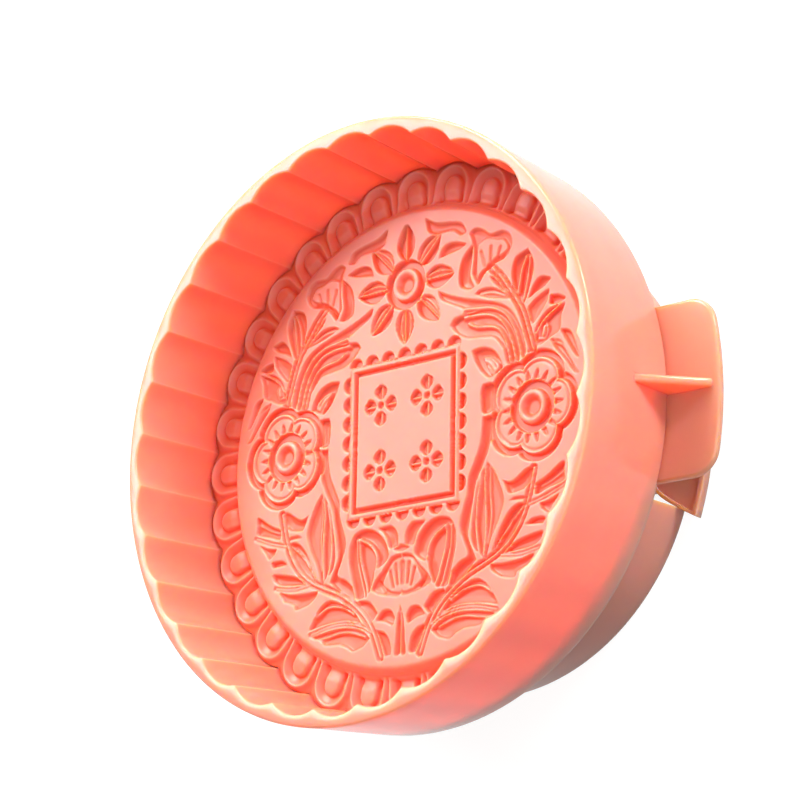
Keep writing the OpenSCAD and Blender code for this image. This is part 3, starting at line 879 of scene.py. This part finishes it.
def carve_daisy(carving, centre=(0, 39), petals=8, root=6.2, tip=16.4, half_w=3.1):
    r, angle = carving.polar(centre)
    turned = fold(angle, 2 * math.pi / petals)
    along, across = r * np.cos(turned), r * np.sin(turned)
    t = np.clip((along - root) / (tip - root), 0, 1)
    width = half_w * np.sin(math.pi * t**0.8) ** 0.85
    petal = 1.5 * ease((width - np.abs(across)) / 0.5) * (along > root - 0.4)
    petal -= 0.45 * ease(across / 0.8) * (petal > 0.3)
    for place, height in ((0, 1.25), (0.5, 0.6)):
        petal -= height * np.exp(-(((across - place * width) / 0.3) ** 2)) * (petal > 0)
    carving.merge(np.maximum(np.maximum(petal, 0), eye(r)) * (r < tip + 1))


def lobed_edge(angle, lobes, first_lobe, valley, rise):
    """Radius of a flower's edge: round lobes with sharp valleys between them."""
    swing = np.abs(np.cos(lobes / 2 * (angle - math.radians(first_lobe))))
    return valley + rise * swing**0.6


def carve_side_flower(carving, centre=(40.2, 0.4), lobes=5, first_lobe=70, stamens=18):
    """A moat round a lobed flower, whose pale face stands nearly as high as the disc."""
    r, angle = carving.polar(centre)
    moat = lobed_edge(angle, lobes, first_lobe, 11.6, 2.5) - r
    petal = lobed_edge(angle, lobes, first_lobe, 9.6, 2.6) - r
    depth = 1.5 * ease(moat / 0.5) * (1 - ease((petal + 0.2) / 0.6))
    face = 0.32 - 0.3 * np.exp(-(((petal - 0.5) / 0.35) ** 2)) + 0.25 * np.exp(-(((petal - 1.2) / 0.3) ** 2))
    taper = np.clip(1 - (r - 6.3) / 3.2, 0, 1)
    wedge = ease((np.cos(angle * stamens) - 1 + 1.7 * taper) / 0.5)
    face = face + 0.6 * wedge * (taper > 0)
    face = np.where(r < 6.7, 0.3 * ease((r - 3.6) / 0.4), face)
    carving.merge(np.where(moat > 0, np.maximum(np.maximum(depth, face * (petal > 0.1)), eye(r)), 0))


def carve_frame(carving, half=(15.2, 17.0), middle_y=0.3, scallop_r=2.25):
    x, y = carving.x, carving.y - middle_y
    out = np.maximum(x - half[0], np.abs(y) - half[1])
    depth = np.maximum(ring_band(out, 0.0, 1.6, 1.4, 0.4), ring_band(out, 2.3, 2.9, 0.35, 0.3))
    beyond = np.where(out > 2.9, 1, 0)
    scallops = [(column * 5.4, side * (half[1] + 2.9)) for column in range(4) for side in (-1, 1)]
    scallops += [(half[0] + 2.9, row * 5.1) for row in range(-3, 4)]
    for scallop_x, scallop_y in scallops:
        away = np.hypot(x - scallop_x, y - scallop_y)
        depth = np.maximum(depth, 1.3 * ease((scallop_r - away) / 0.5) * beyond)
    carving.merge(depth)


def carve_rosettes(carving, reach=5.4, half_w=2.1):
    """Four plain blossoms that fill the framed field."""
    for centre in ((7.6, 8.7), (7.6, -8.1)):
        r, angle = carving.polar(centre)
        turned = fold(angle, math.pi / 2)
        along, across = r * np.cos(turned), r * np.sin(turned)
        t = np.clip((along - 1.3) / (reach - 1.3), 0, 1)
        width = half_w * np.sin(math.pi * t**1.15) ** 0.7
        petal = 1.15 * ease((width - np.abs(across)) / 0.5) * (along > 1.1)
        petal -= 0.7 * np.exp(-((across / 0.3) ** 2)) * (petal > 0.2)
        carving.merge(np.maximum(np.maximum(petal, 0), 1.0 * ease((1.15 - r) / 0.6)))


trial = Carving(np.array([0, 40.2]), np.array([39, 0.4]))
for carve in (carve_daisy, carve_side_flower):
    carve(trial)
print("eyes of the daisy and of a side flower:", trial.depth.round(2), "mm deep")


# %% [markdown]
# The leaves, buds and stems are drawn freely. The points were read from the photograph, on a grid
# laid over the stamp's face, to a few tenths of a millimetre. Each call is one hollow or one vein.

# %% Upper half of the wreath
def carve_upper_leaves(c):
    c.sink(1.3, [(6.1, 55.5), (10, 53.4), (15, 52.5), (18.2, 51.4)],
           [(20, 48.6), (17.7, 48.2), (15, 49.9), (10, 50), (7.2, 51.5)])
    c.sink(1.5, [(10.7, 43.4), (11.8, 45.9), (14.1, 47), (17, 46.7)],
           [(20.2, 45.5), (17.7, 44.5), (14.5, 44)])
    c.sink(1.6, [(22, 45.2), (19.5, 43.2), (18, 41), (17.3, 37.5), (17.8, 34.6), (20.5, 33.3)],
           [(22.6, 33.6), (21.2, 37), (21.8, 41)])
    c.sink(1.15, [(20.6, 48.1), (22.3, 49), (24.6, 48.5), (27.3, 46.6)],
           [(29.1, 46.5), (31.4, 46.5), (33.6, 45), (34.3, 42.5), (33.4, 40.3)],
           [(31.6, 39), (28, 38), (25.3, 36), (23.6, 33.9)], [(21.6, 37), (22, 41.5), (21.6, 45.5)])
    c.lift(0.45,
           [(23, 45), (26, 46), (29.5, 45), (31.5, 44.5), (33, 42), (31.5, 40.5), (28, 39.5), (25, 37.5),
            (22.8, 36), (22.6, 41)])
    c.rib(-0.7, (24, 35.3), (26.3, 37.6), (29, 38.9), (31.2, 39.4), half_w=0.55)
    for top, bottom in (((24.1, 42.5), (25.3, 38.6)), ((27.3, 43.2), (27.2, 39.6)),
                        ((30.3, 42.5), (29.4, 40))):
        c.rib(-0.4, top, bottom, half_w=0.35)
    c.sink(1.2, [(26.8, 35.7), (28.8, 34.9), (31, 32.4), (33.4, 29.7)], [(31.2, 30.8), (28.6, 33.2)])
    c.sink(1.3, [(22.2, 31.8), (24.5, 32.8), (27.8, 32.6), (31, 31)],
           [(34.8, 28), (31, 28.8), (27.5, 29.6), (24.8, 30.6)])
    c.rib(0.5, (24, 31.7), (28, 31.2), (33, 29))


def carve_right_sprig(c):
    c.sink(1.55, [(36.4, 27.2), (34.6, 31), (34, 35), (35.2, 38.6)],
           [(39.2, 40.1), (40.8, 36.6), (40.6, 33), (38.2, 26.6)])
    c.rib(1.2, (38.4, 38.4), (36.7, 34.5), (36, 29.6))
    c.rib(0.9, (39.3, 38), (38.6, 33.5), (37.4, 27.6))
    c.sink(1.5, [(38.9, 26.9), (40.6, 30.4), (43, 32.2)], [(46.4, 31.2), (44.3, 29.4), (41.8, 28.4)])
    c.sink(1.1, [(38.8, 25), (41.5, 27), (45.4, 28.5)], [(45.2, 25.6), (42.6, 22.4), (40.2, 20.6)])
    c.sink(1.45, [(45.6, 27), (48.4, 26.6)], [(50.9, 25.2), (48.3, 24.2), (45.7, 24.5)])
    c.sink(1.25, [(40.9, 18.6), (42.6, 21.4), (45.5, 23.6), (50.3, 24.6)], [(49.2, 21.2), (48.7, 17.6)],
           [(46, 16.2), (43, 14.9), (41.2, 15.2)])
    c.rib(1.0, (50, 24.3), (46.5, 22.8), (43.6, 20.8), (41.6, 18.2))
    c.lift(0.4, [(41.6, 16.3), (42, 19.3)], [(44.3, 21), (45.2, 18.8), (44, 16.3)])
    c.rib(-0.5, (42.6, 17.2), (43.2, 19.6), (44, 20.1), (44.4, 18.4), (43.6, 16.9), (42.6, 17.2))
    c.sink(1.35, [(48.5, 17.9), (51.2, 17.3), (52.8, 15.2)], [(54.8, 9.4), (53.2, 10.4), (51.2, 13.4)])
    c.sink(1.2, [(45.6, 16.2), (49, 15), (51.2, 11.6)], [(54.6, 6), (53, 6.2), (50, 10), (47.2, 13.2)])
    c.rib(0.6, (47, 15.2), (49.6, 13.4), (51.8, 9.8), (53.8, 6.6))


def carve_long_leaves(c):
    c.sink(1.25,
           [(10.5, 35.2), (15, 33.1), (20, 31.3), (25, 29.9), (29.5, 28.4), (33.5, 26), (36.6, 21.5),
            (38.4, 17)], [(40, 13.6), (33.6, 11.4)],
           [(31.6, 16), (28.6, 19.4), (25, 20.2), (20.5, 20.8), (17, 22.6)],
           [(14.7, 25.2), (16.2, 26.9), (19, 27.4)], [(18.6, 28.9), (15, 30.6), (11.6, 32.6)])
    c.lift(0.35, [(17.6, 28.2), (20, 27.9), (24, 27.8)], [(26, 27.7), (22, 27.1), (19, 27.2)])
    for line in ([(19.4, 28.5), (24, 28), (28, 27.2), (31.8, 25), (34.6, 21), (36.2, 16.5), (37, 12.4)],
                 [(19.3, 26.4), (24, 26.3), (28.3, 25.2), (31.6, 22.4), (33.8, 18.2), (35.4, 12.2)],
                 [(20.4, 24.7), (23, 23.3), (26.5, 22.8), (29.7, 21.6), (32.2, 18), (33.8, 12.4)],
                 [(36, 24.6), (38, 19.6), (38.8, 13)]):
        c.rib(1.05, *line, half_w=0.42)
    c.sink(1.7, [(20.6, 24.5), (24, 25.2), (27.4, 24.4)], [(26, 23.4), (23, 23.5)])
    c.sink(1.6, [(14.9, 25.2), (16.2, 26.7), (18.9, 27)], [(18.6, 25), (16.4, 24.6)])
    c.sink(1.5, [(21.7, 17.5), (25, 17.8), (28.4, 16.6), (30.6, 14)], [(31.7, 11.4), (29, 10), (27, 9.6)],
           [(24.6, 11.6), (22.8, 14.4)])
    c.lift(0.35, [(24.4, 15.6), (27.4, 15.1), (30, 13)], [(30.4, 11.4), (28, 10), (26.3, 12.2)])
    c.rib(-0.4, (25.2, 14.9), (27.4, 14.1), (29, 12.2))
    c.rib(-0.4, (26, 13.6), (27.3, 12.4), (28.3, 10.8))
    stalk = [(27.8, 37.6), (30.5, 34.8), (33, 31.4), (35.4, 28), (37.4, 24.4), (39, 19.6), (40.6, 14.6)]
    c.stem(1.1, 1.3, *stalk)
    c.rib(0.95, *stalk, half_w=0.45)


# %% Lower half of the wreath
def carve_waves(c):
    c.sink(1.6, [(25.2, 8.4), (28.4, 8.2)], [(28.9, 5), (28.4, 1.2), (25.4, 0.9)],
           [(24.7, 3.5), (24.6, 6.5)])
    c.sink(1.6, [(25.2, 0.2), (28, 0.2)],
           [(28.6, -2.5), (27.8, -6.8), (26, -11), (23.6, -15.5), (22.6, -20), (21.6, -25), (21.2, -28.5),
            (22.6, -32)], [(23.8, -34.6), (19.6, -38), (15.2, -40)],
           [(15.8, -36.4), (18.4, -34.4), (20.9, -33), (19.6, -29.5), (18.4, -25.5), (19.4, -21.5),
            (20.6, -18), (20.9, -14.4), (22.8, -10.4), (24.5, -6.4), (25, -3)])


def carve_lower_leaves(c):
    c.sink(1.2, [(25.6, -34.6), (22.4, -31), (22, -26.5), (23, -20), (24.2, -15.4)],
           [(26.8, -10.8), (29.2, -14), (31.2, -18), (32, -21.6)],
           [(30.4, -26), (28, -30.6), (26.8, -34.4)])
    c.rib(1.0, (25, -14.6), (23.9, -20), (23.4, -26), (24, -31), (25, -34.2))
    c.rib(1.1, (26.6, -11.6), (26, -16), (26.3, -22), (26.4, -27), (25.8, -33.8))
    c.rib(0.5, (27.3, -12.6), (27.2, -18), (27.6, -24), (26.8, -31))
    c.sink(1.55, [(27.4, -34.8), (29.2, -31), (31, -27.4), (33.6, -24), (36, -22.6)],
           [(38.6, -22.6), (36.4, -27), (33.8, -30.6), (30.8, -33)])
    c.rib(0.8, (28.4, -33.8), (31.4, -29.6), (34.4, -26.2), (37.8, -23.2))
    c.sink(1.4, [(31.4, -16.2), (34.4, -16.9), (38.4, -14.6)], [(40.6, -14.2), (39.8, -17.8)],
           [(38, -19.6), (34.6, -20.1), (33, -19.6)])
    c.sink(0.9, [(33, -22), (35.4, -20.8), (39, -21.2)], [(38.6, -22.2), (35.4, -22)])
    c.sink(1.5, [(41.2, -18.6), (45, -17), (49.6, -14.3)], [(50, -17), (49.6, -19.2)],
           [(45.4, -20.3), (41.4, -21.4)])
    c.rib(0.4, (42.6, -19.4), (46, -18.2), (49.4, -16.4))
    c.sink(1.2, [(42.2, -23.3), (45.4, -23), (48.6, -21.9)], [(46.4, -24.6), (45, -26.2)], [(43, -25)])
    c.sink(1.45, [(38.2, -28.2), (40.6, -26.7), (44.2, -26.9)], [(43.8, -28.6), (40.6, -28.4)])
    c.sink(1.45, [(31.8, -34.2), (34.6, -32), (38.4, -30.8), (43.4, -30.1)],
           [(43.2, -32), (41, -33.4), (36.6, -34)])
    c.sink(1.2, [(27.2, -35.9), (31.5, -36.3), (37, -35.9), (41.2, -34.9)],
           [(39.4, -37.8), (36.2, -39), (35, -40.4)], [(31, -39.7), (28.4, -38)])
    c.sink(1.35, [(12, -46.6), (15.4, -42.6), (20, -40), (24.2, -39.1), (27.6, -41.4)],
           [(30.7, -46.3), (26, -45.4), (20, -44.9), (15.4, -45.4)])
    c.rib(0.8, (15.6, -43.4), (19.6, -41.3), (24.4, -40.8), (28.2, -42.8))
    c.sink(1.25, [(9.6, -50), (12, -48), (16, -46.7), (20, -46.4), (24.6, -46.8), (29.6, -47.8)],
           [(26, -49.4), (24.6, -50.5)], [(20, -50.7), (17.6, -51.6), (15.4, -52.8)], [(12, -52)])
    c.rib(0.6, (12, -49.4), (16, -48), (20, -47.6), (24, -48.2), (27.6, -48.6))


def carve_tulip(c):
    c.sink(1.5,
           [(8.4, -33.6), (4.4, -31), (4.6, -27.6), (6.6, -24.8), (9.4, -22.9), (12.6, -22.4),
            (15.6, -23.4)], [(17.3, -26.4), (17.3, -30.5), (16.2, -35), (14.8, -39.6)],
           [(12, -40), (10.6, -39.4), (9.2, -36.4)])
    c.rib(1.25, (8.2, -33.6), (8.4, -29.6), (10.4, -26.8), (13.6, -25), half_w=0.5)
    c.rib(1.15, (14.1, -24.8), (13.8, -29.6), (12.3, -34.6), (10.8, -39.2), half_w=0.4)
    c.rib(0.7, (15.2, -24.8), (15, -29.8), (13.6, -35), (12.2, -39.4), half_w=0.35)
    c.sink(1.3, [(1, -28.2), (1.2, -25), (3.4, -22.6)], [(8, -22.7), (5.2, -25.4), (4, -28.4)])
    c.sink(1.0, [(-3.4, -28.8), (0, -27.6)], [(3.4, -28.8), (0, -29.8)])
    c.sink(1.15, [(0, -29.8), (3.4, -30.6), (6, -33.4), (8.4, -35.6), (9.8, -38)],
           [(7.6, -39.4), (4, -40.3), (0, -40.2)], [(-1, -35)])
    c.lift(0.5, [(0, -30.6), (3, -31.4), (5.4, -34.4), (6.4, -37.2)], [(3.6, -39.4), (0, -39.5)],
           [(-1, -35)])
    for top, bottom in (((0.2, -32.2), (0.2, -37.4)), ((2.2, -32.4), (1.6, -37.4)),
                        ((4, -34), (2.8, -38)), ((7.4, -36.4), (5.6, -38.6))):
        c.rib(-0.5, top, bottom, half_w=0.42)
    c.sink(1.5, [(7.2, -44), (10, -41), (13.6, -40.2)], [(14, -41.4), (11.6, -43.6), (9.4, -46)])
    c.sink(1.4, [(1.6, -45.6), (3.2, -43.6), (6, -43.6)], [(8.2, -46), (5, -46.6), (2.4, -47.6)])
    c.sink(1.5, [(8.2, -48), (5, -49), (3.2, -51.4), (2.8, -54.6)], [(5, -55), (6.4, -52.2)])
    c.sink(1.5, [(0, -42.6), (1.1, -46), (1.6, -51), (1.8, -55)], [(-1, -55), (-1, -44)])
    c.rib(0.9, (0, -44.5), (0, -55), half_w=0.4)


def carve_stems(c):
    main = [(6.3, -55), (8.3, -50), (10.4, -46.2), (13.6, -42.7), (17.6, -39.7), (22, -37.3), (26, -35.7),
            (30.4, -33.6), (34, -30.8), (36.9, -27), (38.9, -22.6), (40.2, -18), (40.9, -14.8)]
    c.stem(0.9, 1.25, *main)
    c.rib(0.8, *main, half_w=0.42)
    for branch in ([(39.2, -23.4), (44.6, -22), (50, -20)], [(31, -34.4), (36.6, -34.9), (42.4, -34)],
                   [(9.6, -48.6), (12.6, -46.9), (16, -46), (20, -45.6), (24.6, -46), (29.8, -47.2)]):
        c.stem(0.7, 0.8, *branch)
        c.rib(0.6, *branch, half_w=0.3)


# %% [markdown]
# Round the wreath the face steps down to a ring of arches, one for each flute. An arch is a horseshoe: a
# thin ridge, a groove that slopes down inside it, and a small shell in the middle. All of them are set by
# the distance from one horseshoe line, so one profile across it makes the whole ring.

# %% Arches and the slope round the centre
ARCH_CENTRE_R = 64.8
ARCH_R = 6.4
ARCH_PROFILE = ((-1.5, 1.4), (0.1, 1.1), (0.7, 0.7), (1.0, 0.15), (1.2, 0.0), (1.45, 0.0), (1.75, 0.45),
                (2.4, 0.95), (3.1, 1.35), (3.5, 1.5), (3.65, 1.45), (3.9, 0.7), (4.3, 0.4), (4.9, 0.25),
                (6.4, 0.15))
CARVINGS = (carve_daisy, carve_upper_leaves, carve_right_sprig, carve_long_leaves, carve_waves,
            carve_lower_leaves, carve_tulip, carve_stems, carve_side_flower, carve_frame, carve_rosettes)


def arch_depth(radius, angle):
    """Depth of the arches below their own top."""
    turned = fold(angle, flute_step)
    across, along = radius * np.sin(turned), radius * np.cos(turned) - ARCH_CENTRE_R
    inward = ARCH_R - np.hypot(across, np.maximum(along, 0))
    places, depths = zip(*ARCH_PROFILE)
    fine = np.linspace(places[0], places[-1], 240)
    smooth = np.convolve(np.pad(np.interp(fine, places, depths), 4, mode="edge"), np.ones(9) / 9, "valid")
    recess = 0.6 * ease((-along - 1.2) / 2.4) * ease((inward - 2.3) / 0.6)
    return np.interp(inward, fine, smooth) + recess


def carve_face(x, y):
    """Height of the stamp's face over the palm face, and how deep it is sunk, from 0 to 1."""
    radius, angle = np.hypot(x, y), np.arctan2(y, x)
    carving = Carving(x, y)
    for carve in CARVINGS:
        carve(carving)
    carving.depth *= ease((disc_r - 0.9 - radius) / 0.5)
    across_slope = np.clip((radius - disc_r) / SLOPE_W, -0.2, 1.2)
    slope = disc_z - (disc_z - foot_z) * ease(0.06 + across_slope * 0.9)
    below_top = arch_depth(radius, angle) * ease((radius - slope_foot_r + 0.8) / 1.2)
    height = np.where(radius < slope_foot_r, slope, foot_z)
    arches = np.where(radius > slope_foot_r - 1, foot_z - below_top, disc_z)
    height = np.minimum(height - carving.depth, arches)
    # This share of the depth sets how much shade the stamp's material paints into a groove.
    sunk = np.maximum(ease((carving.depth - 0.2) / 1.1), 0.7 * ease((below_top - 0.7) / 0.8))
    return height, sunk


print("arches:", flute_count, "with a groove", max(depth for _, depth in ARCH_PROFILE), "mm deep")

# %% Skin of the stamp
HOLLOW_INSET = 2.4
FOOT_CHAMFER = 0.3
HOLLOW_CHAMFER = 0.8


def stamp_skin():
    """Points and faces of the whole stamp, and how deep each point is sunk."""
    edge_angles = np.arange(FINEST) * 2 * math.pi / FINEST
    edge = flute_radius(edge_angles, stamp_scale, shrink=STAMP_GAP, soft=0.1)
    rings = []
    for radius, count in zip(inner_radii, counts):
        rings.append(ring(radius, edge_angles[:: FINEST // count], 0.0))
    for share in outer_shares:
        rings.append(ring(slope_foot_r + (edge - slope_foot_r) * share, edge_angles, 0.0))
    top = np.vstack([[(0, 0, 0)], *rings])
    top[:, 2], sunk = carve_face(top[:, 0], top[:, 1])
    start = 1
    first = np.arange(counts[0]) + start
    faces = [[0, a, b] for a, b in zip(first, np.roll(first, -1))]
    for inner_count, outer_count in zip(counts, counts[1:]):
        inside = start + np.arange(inner_count)
        outside = start + inner_count + np.arange(outer_count)
        if inner_count == outer_count:
            after, beyond = np.roll(inside, -1), np.roll(outside, -1)
            faces += np.stack([inside, outside, beyond, after], 1).tolist()
        else:
            after, even, odd = np.roll(inside, -1), outside[::2], outside[1::2]
            beyond = np.roll(even, -1)
            faces += np.stack([inside, even, odd], 1).tolist()
            faces += np.stack([inside, odd, after], 1).tolist()
            faces += np.stack([after, odd, beyond], 1).tolist()
        start += inner_count
    hollow_r = disc_r - HOLLOW_INSET
    chamfer_z, shoulder_z = stamp_z + FOOT_CHAMFER, foot_z - HOLLOW_CHAMFER
    below = [(edge, shoulder_z), (edge, chamfer_z), (edge - FOOT_CHAMFER, stamp_z),
             (hollow_r + FOOT_CHAMFER, stamp_z), (hollow_r, chamfer_z), (hollow_r, shoulder_z),
             (hollow_r - HOLLOW_CHAMFER, foot_z), (hollow_r * 0.6, foot_z), (hollow_r * 0.2, foot_z)]
    rows = [ring(radius, edge_angles, z) for radius, z in below]
    points = np.vstack([top, *rows])
    last = len(top) - FINEST + np.arange(FINEST)
    for row in range(len(rows)):
        following = len(top) + row * FINEST + np.arange(FINEST)
        faces += np.stack([last, following, np.roll(following, -1), np.roll(last, -1)], 1).tolist()
        last = following
    faces.append(last.tolist())
    return points, faces, np.pad(sunk, (0, len(points) - len(sunk)))


*stamp_shell, stamp_sunk = stamp_skin()
stamp = make_piece("stamp_moulding", *stamp_shell, smooth_below=70)
# The material paints shade in proportion to the sunk share kept here.
stamp.data.attributes.new("sunk", "FLOAT", "POINT").data.foreach_set("value", stamp_sunk.astype(np.float32))
dress(stamp, coral_satin, "pusher", "stamp_plate", smooth_below=70)

# %% [markdown]
# ## Springs and screws
# The springs are drawn wire, wound closer at each end. Each is a tube swept along its own helix. When the
# press is pushed they shorten towards their seats in the barrel.

# %% Wire of the springs
WIRE_D = 1.0
SPRING_TURNS = 7
RINGS_PER_TURN = 36
WIRE_SIDES = 12
END_PITCH = WIRE_D + 0.5
CONTACT = 0.05
seat_z = end_z + CUP_DEPTH


def steel(name, colour, roughness):
    # Steel also gets painted highlights on edges, painted shade in corners and a random paler tone.
    colours = dict(Body=colour, MottleAndHighlight=(0.8, 0.8, 0.8, 1), PaintedShade=(0.25, 0.24, 0.23, 1))
    amounts = dict(MottleAndHighlight_Amount=0.4, PaintedShade_Amount=0.6, Cloud_Amount=0.3)
    skin_values = dict(Roughness=roughness, Spread=0.15, Peel=0.1, Scale=900)
    material, shader = grouped_material(name, colours | amounts, skin_values)
    shader.inputs["Metallic"].default_value = 1
    return material


spring_steel = steel("spring_steel", (0.56, 0.56, 0.57, 1), 0.3)
screw_steel = steel("screw_steel", (0.5, 0.5, 0.52, 1), 0.36)


def spring_height(turn_number, low, high):
    knots = [0, 1, SPRING_TURNS - 1, SPRING_TURNS]
    return np.interp(turn_number, knots, [low, low + END_PITCH, high - END_PITCH, high])


def make_spring(name, place):
    low = PALM_T + WIRE_D / 2 + CONTACT
    high = seat_z - WIRE_D / 2 - CONTACT
    turns = np.linspace(0, SPRING_TURNS, SPRING_TURNS * RINGS_PER_TURN + 1)
    height = np.convolve(np.pad(spring_height(turns, low, high), 6, mode="edge"), np.ones(13) / 13, "valid")
    around = 2 * math.pi * turns
    coil_r = SPRING_R - WIRE_D / 2
    path = np.stack([coil_r * np.cos(around), coil_r * np.sin(around), height], 1) + [*place, 0]
    along = np.gradient(path, axis=0)
    along /= np.linalg.norm(along, axis=1)[:, None]
    out = np.stack([np.cos(around), np.sin(around), np.zeros_like(around)], 1)
    up = np.cross(out, along)
    up /= np.linalg.norm(up, axis=1)[:, None]
    section = np.linspace(0, 2 * math.pi, WIRE_SIDES, endpoint=False)
    rings = [point + WIRE_D / 2 * (np.outer(np.cos(section), o) + np.outer(np.sin(section), u))
             for point, o, u in zip(path, out, up)]
    return make_piece(name, *skin([r[::-1] for r in rings]), smooth_below=60)


for number, place in enumerate(spring_places, 1):
    spring = make_spring(f"spring_wire_{number}", place)
    dress(spring, spring_steel, "barrel", f"return_spring_{number}", smooth_below=60)
    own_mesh(spring)

# %% [markdown]
# The press plate is a flat disc with holes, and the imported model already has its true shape, so it keeps
# that mesh and only gets the plastic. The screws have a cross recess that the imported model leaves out, so
# they are made anew: a turned pan head on a shank, with the recess cut in.

# %% Press plate and screws
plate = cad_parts["press_plate"]
plate.data.materials.clear()
plate.data.materials.append(coral_gloss)

HEAD_R = 2.8
HEAD_H = 1.8
HEAD_EDGE = 0.1
HEAD_SIDE_H = 0.6
RECESS_ARMS = ((1.3, 0.3), (0.3, 1.3))
RECESS_DEPTH = 1
SQUARE = ((-1, -1), (1, -1), (1, 1), (-1, 1))


def make_screw(place):
    angles = np.linspace(0, 2 * math.pi, 48, endpoint=False)
    steps = [(SCREW_R - 0.5, stamp_z - SCREW_L), (SCREW_R, stamp_z - SCREW_L + 0.5), (SCREW_R, stamp_z),
             (HEAD_R - HEAD_EDGE, stamp_z), (HEAD_R, stamp_z + HEAD_EDGE), (HEAD_R, stamp_z + HEAD_SIDE_H)]
    steps += [(HEAD_R * (1 - 0.4 * (1 - c)), stamp_z + HEAD_SIDE_H + (HEAD_H - HEAD_SIDE_H) * s)
              for s, c in fillet(6)[1:]]
    screw = make_piece("screw", *skin([ring(r, angles, z) + [*place, 0] for r, z in steps]))
    x, y = place
    top = stamp_z + HEAD_H
    for half_x, half_y in RECESS_ARMS:
        outline = [(x + right * half_x, y + up * half_y) for right, up in SQUARE]
        combine(screw, [prism("slot", outline, top - RECESS_DEPTH, top + 1)], "DIFFERENCE")
    return screw


screws = make_screw(post_places[0])
screws.name = "plate_screw_set"
combine(screws, [make_screw(place) for place in post_places[1:]], "UNION")
dress(screws, screw_steel, "pusher", "plate_screws")

# %% [markdown]
# ## The studio
# The press stands on a pale floor under four soft lamps. The key lamp, up and to the left, lights the
# carving from one side, so that each hollow has a dark wall and a pale one, and it shines through the
# barrel's wall, which makes the flutes glow. The side lamp lights the outside on the right. The veil lamp
# stands where the flat rim mirrors it to the camera, and turns the rim nearly white. A weak front lamp
# keeps the shadows open. Rays from the camera see the floor brighter than it is lit, so that it comes out
# white and still holds the shadow.

# %% Floor
FLOOR_HALF = 3.0
FLOOR_LIFT = 0.92

floor_mesh = bpy.data.meshes.new("floor")
floor_mesh.from_pydata([(x * FLOOR_HALF, y * FLOOR_HALF, 0) for x, y in SQUARE], [], [(0, 1, 2, 3)])
floor = bpy.data.objects.new("floor", floor_mesh)
bpy.context.scene.collection.objects.link(floor)


def seen_rays(tree):
    """One for rays from the camera and for those that a mirror or a window sends on, zero for the rest."""
    rays = add(tree, "ShaderNodeLightPath")
    total = rays.outputs["Is Camera Ray"]
    for label in ("Is Glossy Ray", "Is Transmission Ray"):
        either = add(tree, "ShaderNodeMath", operation="MAXIMUM")
        tree.links.new(total, either.inputs[0])
        tree.links.new(rays.outputs[label], either.inputs[1])
        total = either.outputs[0]
    return total


def floor_material():
    """A dull grey that lights the press a little, and looks nearly white to the camera."""
    material, tree, shader = new_material("pale_floor")
    output = tree.nodes["Material Output"]
    shader.inputs["Base Color"].default_value = (0.17, 0.168, 0.166, 1)
    shader.inputs["Roughness"].default_value = 0.9
    lift = add(tree, "ShaderNodeEmission")
    lift.inputs["Color"].default_value = (1, 0.99, 0.985, 1)
    strength = add(tree, "ShaderNodeMath", operation="MULTIPLY")
    strength.inputs[1].default_value = FLOOR_LIFT
    both = add(tree, "ShaderNodeAddShader")
    tree.links.new(seen_rays(tree), strength.inputs[0])
    tree.links.new(strength.outputs[0], lift.inputs["Strength"])
    tree.links.new(shader.outputs[0], both.inputs[0])
    tree.links.new(lift.outputs[0], both.inputs[1])
    tree.links.new(both.outputs[0], output.inputs["Surface"])
    return material


floor_mesh.materials.append(floor_material())
print("floor:", 2 * FLOOR_HALF, "m square, lifted by", FLOOR_LIFT, "for the camera")

# %% Lamps and world
WORLD_LIGHT = 0.2
target = Vector((0, 0, 0.04))
view_turn = camera.rotation_euler.to_matrix()


def soft_lamp(name, toward, distance, size, power, colour=(1, 1, 1)):
    """A square lamp that faces the press. toward is its direction in the view: right, up and nearer."""
    direction = (view_turn @ Vector(toward)).normalized()
    data = bpy.data.lights.new(name, "AREA")
    data.shape = "SQUARE"
    data.size = size
    data.energy = power
    data.color = colour
    lamp = bpy.data.objects.new(name, data)
    lamp.location = target + direction * distance
    lamp.rotation_mode = "QUATERNION"
    lamp.rotation_quaternion = (-direction).to_track_quat("-Z", "Y")
    bpy.context.scene.collection.objects.link(lamp)
    print(name, "stands at", [round(v, 2) for v in lamp.location])


soft_lamp("key_lamp", (-0.55, 0.75, 0.1), 0.9, 0.4, 12.5, (1, 0.96, 0.88))
soft_lamp("side_lamp", (0.5, 0.75, 0.45), 1.0, 0.25, 10.0)
soft_lamp("veil_lamp", (-0.93, 0.36, 0.02), 2.0, 0.75, 18.0, (1, 0.97, 1))
soft_lamp("front_lamp", (0.1, 0.15, 0.98), 1.0, 0.5, 3.6)

world = bpy.data.worlds.new("studio")
world.use_nodes = True
bpy.context.scene.world = world
background = world.node_tree.nodes["Background"]
background.inputs["Color"].default_value = (1, 0.99, 0.98, 1)
brightness = add(world.node_tree, "ShaderNodeMath", operation="MULTIPLY_ADD")
brightness.inputs[1].default_value = 1 - WORLD_LIGHT
brightness.inputs[2].default_value = WORLD_LIGHT
world.node_tree.links.new(seen_rays(world.node_tree), brightness.inputs[0])
world.node_tree.links.new(brightness.outputs[0], background.inputs["Strength"])
bpy.context.scene.view_settings.view_transform = "Standard"
